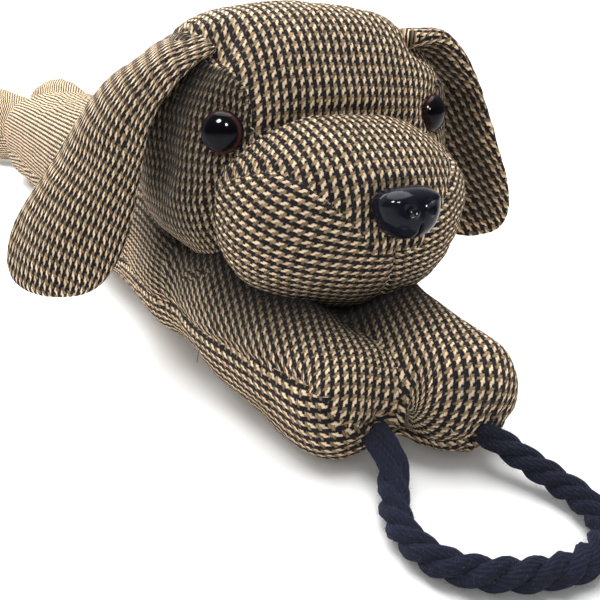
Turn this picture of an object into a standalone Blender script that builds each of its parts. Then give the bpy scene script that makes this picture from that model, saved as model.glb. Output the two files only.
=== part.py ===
"""Draught excluder in the shape of a lying puppy, stuffed tweed with a cord handle."""

import math

import bmesh
import bpy
from mathutils import Matrix, Vector

# Every length is in metres. The puppy lies along Y with its head toward -Y.
# The tables below are measured from the point on the floor under its eyes.

# Stuffed forms
BODY_VOXEL = 0.0060
BODY_SMOOTHING = 5
BODY_FACE_SHARE = 0.22
FORM_CELLS = 12
NOSE_CELLS = 8
RING_POINTS = 24
SEAT_GAP = 0.0004

# Head, half sizes from its centre
HEAD_CENTRE = (0.0, 0.032, 0.096)
HEAD_SIDE = 0.071
HEAD_FRONT = 0.042
HEAD_BACK = 0.055
HEAD_UP = 0.058
HEAD_DOWN = 0.053
HEAD_SQUARENESS = 2.6

# Muzzle, half sizes from its centre, tipped down at the nose
MUZZLE_CENTRE = (-0.0035, -0.008, 0.0755)
MUZZLE_SIDE = 0.0525
MUZZLE_FRONT = 0.041
MUZZLE_BACK = 0.040
MUZZLE_UP = 0.0378
MUZZLE_DOWN = 0.0385
MUZZLE_SQUARENESS = 2.25
MUZZLE_TIP_DOWN = math.radians(12.0)

# Sewn channels: the seams' guide points on the head and the muzzle, right side
CHANNEL_RADIUS = 0.0013
CHANNEL_POINTS = 14
FOREHEAD_SEAM = (
    (-0.0500, 0.012, 0.1380),
    (-0.0440, 0.000, 0.1300),
    (-0.0405, -0.004, 0.1230),
    (-0.0395, -0.006, 0.1150),
    (-0.0390, -0.008, 0.1080),
)
GUSSET_SEAM = (
    (-0.0475, -0.018, 0.1060),
    (-0.0400, -0.033, 0.0985),
    (-0.0310, -0.045, 0.0910),
    (-0.0200, -0.052, 0.0845),
)
CHIN_SEAM = (
    (-0.003, -0.052, 0.0770),
    (-0.003, -0.049, 0.0650),
    (-0.003, -0.046, 0.0530),
    (-0.003, -0.038, 0.0420),
    (-0.003, -0.020, 0.0370),
)

# Eyes, turned domes on the front corners of the head, each over a pupil
EYE_PLACE = (0.0500, -0.0005, 0.1080)
EYE_LOOK = (0.43, -0.90, 0.07)
EYE_RADIUS = 0.0080
EYE_DOME = 0.0050
EYE_SKIRT = 0.0026
PUPIL_RADIUS = 0.0060
PUPIL_TOP = 0.0012
EYE_STEPS = 24

# Nose
NOSE_PLACE = (-0.0045, -0.0520, 0.0825)
NOSE_HALF_WIDTH = 0.0121
NOSE_HALF_HEIGHT = 0.0093
NOSE_FRONT = 0.0100
NOSE_BACK = 0.0060
NOSE_SQUARENESS = 2.5
NOSE_TAPER = 0.25
NOSE_TIP_BACK = math.radians(-14.0)

# Limb tables, one row a section: x, y, middle height, half width, half height
TRUNK = (
    (-0.004, 0.022, 0.035, 0.057, 0.037),
    (-0.002, 0.042, 0.038, 0.067, 0.043),
    (0.000, 0.085, 0.041, 0.068, 0.048),
    (0.000, 0.160, 0.042, 0.068, 0.049),
    (0.000, 0.300, 0.042, 0.067, 0.049),
    (0.000, 0.440, 0.042, 0.067, 0.049),
    (0.000, 0.540, 0.042, 0.066, 0.048),
    (0.000, 0.590, 0.040, 0.061, 0.045),
)
FRONT_LEG_RIGHT = (
    (-0.034, 0.040, 0.034, 0.027, 0.032),
    (-0.0385, 0.008, 0.029, 0.0260, 0.029),
    (-0.0375, -0.020, 0.025, 0.0225, 0.026),
    (-0.0355, -0.043, 0.022, 0.0210, 0.024),
    (-0.0330, -0.0605, 0.020, 0.0200, 0.022),
)
FRONT_LEG_LEFT = (
    (0.030, 0.040, 0.034, 0.026, 0.032),
    (0.021, 0.008, 0.029, 0.0240, 0.029),
    (0.0085, -0.025, 0.025, 0.0220, 0.026),
    (0.0040, -0.055, 0.022, 0.0215, 0.024),
    (0.004, -0.078, 0.020, 0.0220, 0.022),
)
HIND_LEG_RIGHT = (
    (-0.024, 0.585, 0.040, 0.020, 0.034),
    (-0.036, 0.635, 0.045, 0.022, 0.038),
    (-0.056, 0.685, 0.047, 0.029, 0.042),
    (-0.072, 0.725, 0.044, 0.029, 0.040),
)
HIND_LEG_LEFT = (
    (0.022, 0.570, 0.042, 0.028, 0.042),
    (0.014, 0.625, 0.048, 0.032, 0.050),
    (0.012, 0.675, 0.048, 0.035, 0.050),
    (0.016, 0.715, 0.042, 0.032, 0.044),
)
TRUNK_SQUARENESS = 2.6
LEG_SQUARENESS = 2.2
LIMB_STATIONS = 26

# Ear tables, one row a section from the sewn base to the tip:
# front edge x, y, z, back edge x, y, z
EAR_RIGHT = (
    (-0.046, 0.012, 0.136, -0.046, 0.050, 0.134),
    (-0.0605, 0.012, 0.127, -0.066, 0.053, 0.128),
    (-0.0715, 0.015, 0.111, -0.0835, 0.056, 0.114),
    (-0.0765, 0.018, 0.0915, -0.1005, 0.057, 0.092),
    (-0.083, 0.020, 0.067, -0.1195, 0.055, 0.070),
    (-0.091, 0.022, 0.040, -0.1335, 0.050, 0.045),
)
EAR_LEFT = (
    (0.046, 0.010, 0.140, 0.046, 0.050, 0.134),
    (0.060, 0.006, 0.140, 0.069, 0.053, 0.128),
    (0.0755, 0.005, 0.1255, 0.082, 0.057, 0.113),
    (0.0895, 0.006, 0.103, 0.087, 0.060, 0.092),
    (0.1045, 0.006, 0.076, 0.091, 0.062, 0.066),
    (0.1215, 0.006, 0.044, 0.099, 0.062, 0.034),
)
EAR_THICKNESS = 0.0095
EAR_BOW = 0.006
EAR_TIP_START = 0.74
EAR_STATIONS = 18
EAR_RING = 16

# Cord handle, its route from the right paw to the left paw: x, y, z
ROPE_ROUTE = (
    (-0.0325, -0.0750, 0.0150),
    (-0.0335, -0.0850, 0.0115),
    (-0.0365, -0.0935, 0.0070),
    (-0.0410, -0.1010, 0.0056),
    (-0.0446, -0.1090, 0.0053),
    (-0.0458, -0.1175, 0.0053),
    (-0.0442, -0.1257, 0.0053),
    (-0.0395, -0.1325, 0.0053),
    (-0.0325, -0.1380, 0.0053),
    (-0.0238, -0.1425, 0.0053),
    (-0.0140, -0.1452, 0.0053),
    (-0.0040, -0.1448, 0.0053),
    (0.0045, -0.1410, 0.0053),
    (0.0100, -0.1340, 0.0053),
    (0.0122, -0.1248, 0.0055),
    (0.0110, -0.1155, 0.0068),
    (0.0080, -0.1062, 0.0095),
    (0.0048, -0.0970, 0.0122),
    (0.0030, -0.0890, 0.0140),
)
ROPE_RADIUS = 0.0046
ROPE_STRANDS = 3
ROPE_LOBE = 0.17
ROPE_LAY = 0.022
ROPE_SIDES = 12
ROPE_RINGS = 116
ROPE_SOCKET_RADIUS = 0.0053
ROPE_SOCKET_DEPTH = 0.012

# Finishes: red, green, blue, roughness
FINISHES = {
    "tweed": (0.400, 0.320, 0.230, 0.95),
    "lens_brown": (0.100, 0.045, 0.020, 0.08),
    "pupil_black": (0.008, 0.007, 0.008, 0.30),
    "nose_black": (0.010, 0.011, 0.018, 0.18),
    "cord_navy": (0.012, 0.015, 0.045, 0.85),
}


def clear_scene():
    for item in list(bpy.data.objects):
        bpy.data.objects.remove(item, do_unlink=True)


def new_collection(name):
    group = bpy.data.collections.new(name)
    bpy.context.scene.collection.children.link(group)
    return group


def finish_material(name):
    """A Principled material with the finish of the given name."""
    found = bpy.data.materials.get(name)
    if found:
        return found
    red, green, blue, roughness = FINISHES[name]
    made = bpy.data.materials.new(name)
    made.use_nodes = True
    shader = made.node_tree.nodes["Principled BSDF"]
    shader.inputs["Base Color"].default_value = (red, green, blue, 1.0)
    shader.inputs["Roughness"].default_value = roughness
    shader.inputs["Metallic"].default_value = 0.0
    return made


def smooth_rows(rows, count):
    """Read evenly spaced rows from one smooth curve through a table's rows."""
    last = len(rows) - 1
    result = []
    for step in range(count):
        place = last * step / (count - 1)
        index = min(int(place), last - 1)
        t = place - index
        before = rows[max(index - 1, 0)]
        start = rows[index]
        end = rows[index + 1]
        after = rows[min(index + 2, last)]
        row = []
        for a, b, c, d in zip(before, start, end, after):
            lift = 2 * b + (c - a) * t
            lift += (2 * a - 5 * b + 4 * c - d) * t * t
            lift += (3 * b - a - 3 * c + d) * t * t * t
            row.append(0.5 * lift)
        result.append(tuple(row))
    return result


def rounded(angle, squareness):
    """A point of the superellipse with unit half sizes."""
    c = math.cos(angle)
    s = math.sin(angle)
    reach = (abs(c) ** squareness + abs(s) ** squareness) ** (-1.0 / squareness)
    return c * reach, s * reach


def skin_rings(name, rings):
    """Join rings of equal length into one closed mesh with its ends closed."""
    mesh = bpy.data.meshes.new(name)
    shell = bmesh.new()
    grid = [[shell.verts.new(point) for point in ring] for ring in rings]
    size = len(rings[0])
    for first, second in zip(grid, grid[1:]):
        for k in range(size):
            after = (k + 1) % size
            shell.faces.new((first[k], first[after], second[after], second[k]))
    shell.faces.new(list(reversed(grid[0])))
    shell.faces.new(grid[-1])
    bmesh.ops.recalc_face_normals(shell, faces=shell.faces)
    shell.to_mesh(mesh)
    shell.free()
    return bpy.data.objects.new(name, mesh)


def limb(name, table, squareness=LEG_SQUARENESS):
    """A stuffed limb lying on the floor, with domed ends, from a table of sections."""
    rows = smooth_rows(table, LIMB_STATIONS)
    ends = (rows[0], rows[-1])
    rings = []
    dome = [math.radians(a) for a in (80, 62, 42, 20)]

    def ring(row, forward, shrink, reach):
        x, y, z, half_width, half_height = row
        side = Vector((forward.y, -forward.x, 0.0))
        centre = Vector((x, y, z)) + forward * reach
        points = []
        for k in range(RING_POINTS):
            across, up = rounded(2 * math.pi * k / RING_POINTS, squareness)
            point = centre + side * (across * half_width * shrink)
            point.z += up * half_height * shrink
            points.append(point)
        return points

    def heading(a, b):
        return Vector((b[0] - a[0], b[1] - a[1], 0.0)).normalized()

    start = heading(rows[0], rows[1])
    stop = heading(rows[-2], rows[-1])
    for angle in dome:
        reach = -ends[0][3] * 0.8 * math.sin(angle)
        rings.append(ring(rows[0], start, math.cos(angle), reach))
    for index, row in enumerate(rows):
        before = rows[max(index - 1, 0)]
        after = rows[min(index + 1, len(rows) - 1)]
        rings.append(ring(row, heading(before, after), 1.0, 0.0))
    for angle in reversed(dome):
        reach = ends[1][3] * 0.8 * math.sin(angle)
        rings.append(ring(rows[-1], stop, math.cos(angle), reach))
    return skin_rings(name, rings)


def form_reach(way, sizes, squareness):
    """Distance from a stuffed form's centre to its surface along a unit direction."""
    side, front, back, up, down = sizes
    halves = (side, front if way.y < 0 else back, up if way.z > 0 else down)
    total = sum(abs(w / h) ** squareness for w, h in zip(way, halves))
    return total ** (-1.0 / squareness)


class Form:
    """A round-cornered stuffed form, given by its half sizes from a centre."""

    def __init__(self, centre, side, front, back, up, down, squareness, tip=0.0):
        self.centre = Vector(centre)
        self.sizes = (side, front, back, up, down)
        self.squareness = squareness
        self.turn = Matrix.Rotation(tip, 3, "X")

    def point(self, way, grow=0.0):
        """The surface point along a unit direction in the form's own turn."""
        sizes = [size + grow for size in self.sizes]
        return self.turn @ (way * form_reach(way, sizes, self.squareness)) + self.centre

    def nearest(self, guide):
        """The surface point in the direction of a guide point."""
        way = self.turn.inverted() @ (Vector(guide) - self.centre)
        return self.point(way.normalized())

    def solid(self, name, cells, grow=0.0):
        """A closed mesh of the form, grown from a subdivided cube."""
        shell = bmesh.new()
        bmesh.ops.create_cube(shell, size=2.0)
        bmesh.ops.subdivide_edges(shell, edges=shell.edges, cuts=cells - 1, use_grid_fill=True)
        for vert in shell.verts:
            spread = Vector([math.tan(c * math.pi / 4) for c in vert.co])
            vert.co = self.point(spread.normalized(), grow)
        bmesh.ops.recalc_face_normals(shell, faces=shell.faces)
        mesh = bpy.data.meshes.new(name)
        shell.to_mesh(mesh)
        shell.free()
        return bpy.data.objects.new(name, mesh)


HEAD = Form(HEAD_CENTRE, HEAD_SIDE, HEAD_FRONT, HEAD_BACK, HEAD_UP, HEAD_DOWN, HEAD_SQUARENESS)
MUZZLE = Form(MUZZLE_CENTRE, MUZZLE_SIDE, MUZZLE_FRONT, MUZZLE_BACK, MUZZLE_UP, MUZZLE_DOWN,
              MUZZLE_SQUARENESS, MUZZLE_TIP_DOWN)
NOSE = Form(NOSE_PLACE, NOSE_HALF_WIDTH, NOSE_FRONT, NOSE_BACK, NOSE_HALF_HEIGHT,
            NOSE_HALF_HEIGHT, NOSE_SQUARENESS, NOSE_TIP_BACK)


def nose_solid(name, grow=0.0):
    """The moulded nose, narrower below."""
    item = NOSE.solid(name, NOSE_CELLS, grow)
    for vert in item.data.vertices:
        height = (vert.co.z - NOSE_PLACE[2]) / NOSE_HALF_HEIGHT
        vert.co.x = NOSE_PLACE[0] + (vert.co.x - NOSE_PLACE[0]) * (1.0 + NOSE_TAPER * height)
    return item


def mirrored(points, middle):
    """The same points on the other side of the plane x = middle."""
    return [(2.0 * middle - x, y, z) for x, y, z in points]


def poly_curve(name, points, radius, sides=2):
    """A round tube through a list of points, with filled caps."""
    data = bpy.data.curves.new(name, "CURVE")
    data.dimensions = "3D"
    data.bevel_depth = radius
    data.bevel_resolution = sides
    data.use_fill_caps = True
    line = data.splines.new("POLY")
    line.points.add(len(points) - 1)
    for target, point in zip(line.points, points):
        target.co = (*point, 1.0)
    return bpy.data.objects.new(name, data)


def solid_tube(name, points, radius):
    """A tube through points as a closed mesh, for use as a cutter."""
    made = poly_curve(name + "_line", points, radius)
    bpy.context.scene.collection.objects.link(made)
    seen = made.evaluated_get(bpy.context.evaluated_depsgraph_get())
    mesh = bpy.data.meshes.new_from_object(seen)
    bpy.data.objects.remove(made, do_unlink=True)
    shell = bmesh.new()
    shell.from_mesh(mesh)
    bmesh.ops.remove_doubles(shell, verts=shell.verts, dist=0.00001)
    bmesh.ops.recalc_face_normals(shell, faces=shell.faces)
    shell.to_mesh(mesh)
    shell.free()
    return bpy.data.objects.new(name, mesh)


def channel(name, form, guides):
    """The cutter of a sewn channel that runs over a form through its guide points."""
    route = [form.nearest(row) for row in smooth_rows(guides, CHANNEL_POINTS)]
    return solid_tube(name, route, CHANNEL_RADIUS)


def turned(name, profile):
    """A turned solid about its own Z axis from a profile of (radius, height)."""
    mesh = bpy.data.meshes.new(name)
    points = [(r, 0.0, z) for r, z in profile]
    mesh.from_pydata(points, [(k, k + 1) for k in range(len(points) - 1)], [])
    item = bpy.data.objects.new(name, mesh)
    spin = item.modifiers.new("Screw", "SCREW")
    spin.axis = "Z"
    spin.steps = EYE_STEPS
    spin.render_steps = EYE_STEPS
    spin.use_merge_vertices = True
    spin.merge_threshold = 0.00001
    spin.use_normal_calculate = False
    return item


def look_at_way(item, place, way):
    """Put a turned piece at a place with its axis along a direction."""
    item.location = place
    item.rotation_mode = "QUATERNION"
    item.rotation_quaternion = Vector(way).to_track_quat("Z", "Y")


def lens_profile(grow=0.0, hollow=True):
    """Outline of an eye dome, with a recess at the back for the pupil."""
    radius = EYE_RADIUS + grow
    rise = EYE_DOME + grow
    steps = 7
    outline = []
    for k in range(steps + 1):
        angle = 0.5 * math.pi * (1.0 - k / steps)
        outline.append((radius * math.cos(angle), rise * math.sin(angle)))
    outline[0] = (0.0, rise)
    outline.append((radius * 0.96, -EYE_SKIRT - grow))
    if hollow:
        outline.append((PUPIL_RADIUS + SEAT_GAP, -EYE_SKIRT))
        outline.append((PUPIL_RADIUS + SEAT_GAP, PUPIL_TOP + SEAT_GAP))
        outline.append((0.0, PUPIL_TOP + SEAT_GAP))
    else:
        outline.append((0.0, -EYE_SKIRT - grow))
    return outline


def pupil_profile():
    return [(0.0, PUPIL_TOP), (PUPIL_RADIUS * 0.8, PUPIL_TOP), (PUPIL_RADIUS, PUPIL_TOP * 0.4),
            (PUPIL_RADIUS, -EYE_SKIRT), (0.0, -EYE_SKIRT)]


def even_points(points, count):
    """Points at equal distances along a finely divided route."""
    route = [Vector(point) for point in points]
    total = sum((b - a).length for a, b in zip(route, route[1:]))
    step = total / (count - 1)
    result = [route[0].copy()]
    travelled = 0.0
    for a, b in zip(route, route[1:]):
        span = (b - a).length
        while len(result) < count - 1 and travelled + span >= step * len(result):
            result.append(a.lerp(b, (step * len(result) - travelled) / span))
        travelled += span
    result.append(route[-1].copy())
    return result


def rope_points():
    return even_points(smooth_rows(ROPE_ROUTE, 400), ROPE_RINGS)


def rope(name):
    """The twisted cord handle: rings with a lobe for each strand, turning along the route."""
    points = rope_points()
    step = (points[1] - points[0]).length
    rings = []
    for index, point in enumerate(points):
        before = points[max(index - 1, 0)]
        after = points[min(index + 1, len(points) - 1)]
        forward = (after - before).normalized()
        side = forward.cross(Vector((0.0, 0.0, 1.0))).normalized()
        up = side.cross(forward)
        turn = 2 * math.pi * index * step / ROPE_LAY
        ring = []
        for k in range(ROPE_SIDES):
            angle = 2 * math.pi * k / ROPE_SIDES
            lobe = 0.5 * (1.0 - math.cos(ROPE_STRANDS * (angle - turn)))
            reach = ROPE_RADIUS * (1.0 - ROPE_LOBE * lobe)
            ring.append(point + (side * math.cos(angle) + up * math.sin(angle)) * reach)
        rings.append(ring)
    return skin_rings(name, rings)


def ear_form(name, table):
    """A lightly stuffed flap between its two edges, bowed outward, with a round tip."""
    rows = smooth_rows(table, EAR_STATIONS)
    rings = []
    for index, row in enumerate(rows):
        along = index / (EAR_STATIONS - 1)
        front = Vector(row[:3])
        back = Vector(row[3:])
        before = rows[max(index - 1, 0)]
        after = rows[min(index + 1, EAR_STATIONS - 1)]
        run = Vector(after[:3]) + Vector(after[3:]) - Vector(before[:3]) - Vector(before[3:])
        across = (back - front) * 0.5
        face = across.cross(run).normalized()
        if table[0][0] > 0:
            face.negate()
        tip = max((along - EAR_TIP_START) / (1.003 - EAR_TIP_START), 0.0)
        narrow = math.sqrt(1.0 - tip ** 2.6)
        middle = (front + back) * 0.5
        thick = 0.5 * EAR_THICKNESS * (0.5 + 0.5 * narrow)
        ring = []
        for k in range(EAR_RING):
            width, depth = rounded(2 * math.pi * k / EAR_RING, 2.0)
            bow = EAR_BOW * (1.0 - width * width) * narrow * (0.4 + 0.6 * along)
            ring.append(middle + across * (width * narrow) + face * (depth * thick + bow))
        rings.append(ring)
    return skin_rings(name, rings)


def boolean(target, other, operation):
    """Add an exact Boolean modifier."""
    change = target.modifiers.new(operation.title(), "BOOLEAN")
    change.operation = operation
    change.solver = "EXACT"
    change.object = other


def centre_on_origin(parts, placement):
    """Move the stuffed pieces so that the origin is on the floor under their middle."""
    bpy.context.view_layer.update()
    graph = bpy.context.evaluated_depsgraph_get()
    corners = []
    for item in parts.objects:
        if item.name != "rope_handle":
            seen = item.evaluated_get(graph)
            corners += [seen.matrix_world @ Vector(corner) for corner in seen.bound_box]
    for axis in (0, 1):
        values = [corner[axis] for corner in corners]
        placement.location[axis] = -0.5 * (min(values) + max(values))


def build():
    clear_scene()
    parts = new_collection("puppy_draught_excluder")
    cutters = new_collection("cutters")
    placement = bpy.data.objects.new("placement", None)
    bpy.context.scene.collection.objects.link(placement)

    def part(item, finish):
        parts.objects.link(item)
        item.data.materials.append(finish_material(finish))
        item.parent = placement
        return item

    def cutter(item):
        cutters.objects.link(item)
        item.hide_render = True
        item.display_type = "WIRE"
        item.parent = placement
        return item

    # Head and muzzle
    head = part(HEAD.solid("head", FORM_CELLS), "tweed")
    muzzle = part(MUZZLE.solid("muzzle", FORM_CELLS), "tweed")
    head_seat = cutter(HEAD.solid("head_seat", FORM_CELLS, SEAT_GAP))
    muzzle_seat = cutter(MUZZLE.solid("muzzle_seat", FORM_CELLS, SEAT_GAP))
    boolean(muzzle, head_seat, "DIFFERENCE")
    seams = (
        ("forehead_seam_right", head, HEAD, FOREHEAD_SEAM),
        ("forehead_seam_left", head, HEAD, mirrored(FOREHEAD_SEAM, HEAD_CENTRE[0])),
        ("gusset_seam_right", muzzle, MUZZLE, GUSSET_SEAM),
        ("gusset_seam_left", muzzle, MUZZLE, mirrored(GUSSET_SEAM, MUZZLE_CENTRE[0])),
        ("chin_seam", muzzle, MUZZLE, CHIN_SEAM),
    )
    for name, stuffed, form, guides in seams:
        boolean(stuffed, cutter(channel(name, form, guides)), "DIFFERENCE")

    # Eyes
    for name, turn in (("right", -1.0), ("left", 1.0)):
        place = (EYE_PLACE[0] * turn, EYE_PLACE[1], EYE_PLACE[2])
        way = (EYE_LOOK[0] * turn, EYE_LOOK[1], EYE_LOOK[2])
        look_at_way(part(turned("eye_" + name, lens_profile()), "lens_brown"), place, way)
        look_at_way(part(turned("pupil_" + name, pupil_profile()), "pupil_black"), place, way)
        seat = cutter(turned("eye_seat_" + name, lens_profile(SEAT_GAP, False)))
        look_at_way(seat, place, way)
        boolean(head, seat, "DIFFERENCE")
        boolean(muzzle, seat, "DIFFERENCE")

    # Nose
    part(nose_solid("nose"), "nose_black")
    boolean(muzzle, cutter(nose_solid("nose_seat", SEAT_GAP)), "DIFFERENCE")

    # Body
    body = part(limb("body", TRUNK, TRUNK_SQUARENESS), "tweed")
    for name, table in (("front_leg_right", FRONT_LEG_RIGHT), ("front_leg_left", FRONT_LEG_LEFT),
                        ("hind_leg_right", HIND_LEG_RIGHT), ("hind_leg_left", HIND_LEG_LEFT)):
        boolean(body, cutter(limb(name, table)), "UNION")
    remesh = body.modifiers.new("Remesh", "REMESH")
    remesh.mode = "VOXEL"
    remesh.voxel_size = BODY_VOXEL
    soften = body.modifiers.new("Smooth", "SMOOTH")
    soften.factor = 0.5
    soften.iterations = BODY_SMOOTHING
    thin = body.modifiers.new("Decimate", "DECIMATE")
    thin.ratio = BODY_FACE_SHARE
    bpy.ops.mesh.primitive_cube_add(size=2.0, location=(0.0, 0.3, -1.0))
    floor = bpy.context.active_object
    floor.name = "floor_cut"
    for group in list(floor.users_collection):
        group.objects.unlink(floor)
    cutter(floor)
    boolean(body, floor, "DIFFERENCE")
    boolean(body, head_seat, "DIFFERENCE")
    boolean(body, muzzle_seat, "DIFFERENCE")

    # Ears
    for name, table in (("ear_right", EAR_RIGHT), ("ear_left", EAR_LEFT)):
        boolean(part(ear_form(name, table), "tweed"), head_seat, "DIFFERENCE")

    # Cord handle and the openings in the paw tips where it is sewn in
    part(rope("rope_handle"), "cord_navy")
    points = rope_points()
    for name, start, after in (("right", points[0], points[1]), ("left", points[-1], points[-2])):
        way = (after - start).normalized()
        ends = [start - way * 0.001, start + way * ROPE_SOCKET_DEPTH]
        boolean(body, cutter(solid_tube("rope_socket_" + name, ends, ROPE_SOCKET_RADIUS)), "DIFFERENCE")

    centre_on_origin(parts, placement)


build()
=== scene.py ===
import math

import bmesh
import bpy
import numpy as np
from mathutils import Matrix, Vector


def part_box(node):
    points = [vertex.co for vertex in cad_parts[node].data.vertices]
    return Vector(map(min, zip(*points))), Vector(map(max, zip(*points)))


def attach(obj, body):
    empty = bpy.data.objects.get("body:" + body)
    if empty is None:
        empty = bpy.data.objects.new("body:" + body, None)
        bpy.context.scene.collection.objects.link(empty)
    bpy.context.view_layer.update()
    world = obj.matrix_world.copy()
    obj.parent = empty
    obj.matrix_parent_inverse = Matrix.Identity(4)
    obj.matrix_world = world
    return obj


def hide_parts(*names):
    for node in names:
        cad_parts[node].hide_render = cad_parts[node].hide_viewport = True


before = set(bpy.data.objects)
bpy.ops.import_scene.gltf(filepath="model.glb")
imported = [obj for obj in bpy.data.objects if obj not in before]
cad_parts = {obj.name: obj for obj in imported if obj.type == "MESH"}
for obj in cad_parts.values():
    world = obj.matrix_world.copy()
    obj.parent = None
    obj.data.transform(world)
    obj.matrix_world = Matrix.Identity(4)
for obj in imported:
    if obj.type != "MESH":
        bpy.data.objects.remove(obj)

bl_info = {
    "name": "Puppy draught excluder",
    "version": (1, 0, 0),
    "blender": (4, 5, 0),
    "location": "3D View > Sidebar > Puppy",
    "description": "Dogtooth tweed, seams, eyes, nose and cord of a puppy draught excluder",
    "category": "Object",
}

# Lengths are in metres unless a table says millimetres. The tables are measured from the
# point on the floor under the puppy's eyes, with +X to its left and -Y ahead of it.


def millimetres(*rows):
    """A table in metres from its rows in millimetres."""
    return np.array(rows) / 1000


# Head and muzzle, half sizes from their centres
HEAD_FRONT = 0.042
HEAD_CENTRE_HEIGHT = 0.096
HEAD_BACK = 0.055
HEAD_AHEAD = 0.032
HEAD_SQUARENESS = 2.6
MUZZLE_CENTRE = (-0.0035, -0.008, 0.0755)
MUZZLE_HALVES = (0.0525, 0.041, 0.040, 0.0378, 0.0385)
MUZZLE_SQUARENESS = 2.25
MUZZLE_TIP_DOWN = math.radians(12.0)
HEAD_CELLS = 92
MUZZLE_CELLS = 84

# Panel edges: angle over the form from the front, in degrees, and half width of the top panel.
# The forehead's left edge lies further out.
FOREHEAD_EDGE = (
    (-60.0, 0.034),
    (5.0, 0.0385),
    (26.0, 0.0395),
    (37.0, 0.0405),
    (47.0, 0.0440),
    (64.0, 0.0500),
    (90.0, 0.0520),
    (125.0, 0.0490),
    (160.0, 0.0440),
    (200.0, 0.0400),
)
LEFT_EDGE_FURTHER = 0.011
GUSSET_EDGE = (
    (0.0, 0.0110),
    (8.0, 0.0130),
    (22.0, 0.0215),
    (38.0, 0.0300),
    (55.0, 0.0370),
    (80.0, 0.0460),
    (110.0, 0.0500),
)

# Nose and eyes
NOSE_PLACE = (-0.0045, -0.0520, 0.0825)
NOSE_HALVES = (0.0121, 0.0100, 0.0060, 0.0093, 0.0093)
NOSE_SQUARENESS = 2.5
NOSE_TAPER = 0.25
NOSE_TIP_BACK = math.radians(-14.0)
NOSE_CELLS = 72
NOSTRIL_APART = 0.0042
NOSTRIL_HEIGHT = 0.0006
EYE_PLACES = (
    ("right", -1.0, (-0.0500, -0.0005, 0.1080)),
    ("left", 1.0, (0.0480, -0.0013, 0.1105)),
)
EYE_LOOK = (0.43, -0.90, 0.07)
EYE_RADIUS = 0.0080
EYE_DOME = 0.0050
EYE_SKIRT = 0.0026
EYE_SINK = 0.0009
EYE_STEPS = 72

# Limb tables, one row a section: x, y, middle height, half width, half height
TRUNK = millimetres(
    (-4, 22, 35, 57, 37),
    (-2, 42, 38, 67, 43),
    (0, 85, 41, 68, 48),
    (0, 160, 42, 68, 49),
    (0, 300, 42, 67, 49),
    (0, 440, 42, 67, 49),
    (0, 540, 42, 66, 48),
    (0, 590, 40, 61, 45),
)
FRONT_LEG_RIGHT = millimetres(
    (-34, 40, 34, 27, 32),
    (-38.5, 8, 29, 26, 29),
    (-37.5, -20, 25, 22.5, 26),
    (-35.5, -43, 22, 21, 24),
    (-33, -60.5, 20, 20, 22),
)
FRONT_LEG_LEFT = millimetres(
    (30, 40, 34, 26, 32),
    (21, 8, 29, 24, 29),
    (8.5, -25, 25, 22, 26),
    (4, -55, 22, 21.5, 24),
    (4, -78, 20, 22, 22),
)
HIND_LEG_RIGHT = millimetres(
    (-24, 585, 40, 20, 34),
    (-36, 635, 45, 22, 38),
    (-56, 685, 47, 29, 42),
    (-72, 725, 44, 29, 40),
)
HIND_LEG_LEFT = millimetres(
    (22, 570, 42, 28, 42),
    (14, 625, 48, 32, 50),
    (12, 675, 48, 35, 50),
    (16, 715, 42, 32, 44),
)
TRUNK_SQUARENESS = 2.6
LEG_SQUARENESS = 2.2
LIMB_STATIONS = 60
LIMB_POINTS = 48
DOME_REACH = 0.8
BODY_VOXEL = 0.0040
BODY_SMOOTHING = 11
FLOOR_SOFTNESS = 0.0010

# Ear tables from the sewn base to the tip: front edge x, y, z, back edge x, y, z
EAR_RIGHT = millimetres(
    (-46, 12, 136, -46, 50, 134),
    (-60.5, 12, 127, -66, 53, 128),
    (-71.5, 15, 111, -83.5, 56, 114),
    (-76.5, 18, 91.5, -100.5, 57, 92),
    (-83, 20, 67, -119.5, 55, 70),
    (-91, 22, 40, -133.5, 50, 45),
)
EAR_LEFT = millimetres(
    (46, 10, 140, 46, 50, 134),
    (60, 6, 140, 69, 53, 128),
    (75.5, 5, 125.5, 82, 57, 113),
    (89.5, 6, 103, 87, 60, 92),
    (104.5, 6, 76, 91, 62, 66),
    (121.5, 6, 44, 99, 62, 34),
)
EAR_THICKNESS = 0.0095
EAR_BOW = 0.006
EAR_TIP_START = 0.74
EAR_SQUARENESS = 2.3
EAR_SEAM_INSET = 0.005
EAR_STATIONS = 150
EAR_RING = 120

# Cord handle, its route from the right paw to the left paw
ROPE_ROUTE = millimetres(
    (-28, -71, 13),
    (-30.5, -84, 9.5),
    (-35.5, -93.5, 6.6),
    (-41, -101, 5.6),
    (-44.6, -109, 5.3),
    (-45.8, -117.5, 5.3),
    (-44.2, -125.7, 5.3),
    (-39.5, -132.5, 5.3),
    (-32.5, -138, 5.3),
    (-23.8, -142.5, 5.3),
    (-14, -145.2, 5.3),
    (-4, -144.8, 5.3),
    (4.5, -141, 5.3),
    (10, -134, 5.3),
    (12.2, -124.8, 5.5),
    (11, -115.5, 6.8),
    (8, -106.2, 9.5),
    (4.8, -97, 12.2),
    (3, -89, 14),
)
ROPE_RADIUS = 0.0047
ROPE_STRANDS = 3
ROPE_LAY = 0.024
YARN_LAY = 0.0105
ROPE_STEPS = 480
STRAND_SIDES = 32
STRAND_YARNS = 8

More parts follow.
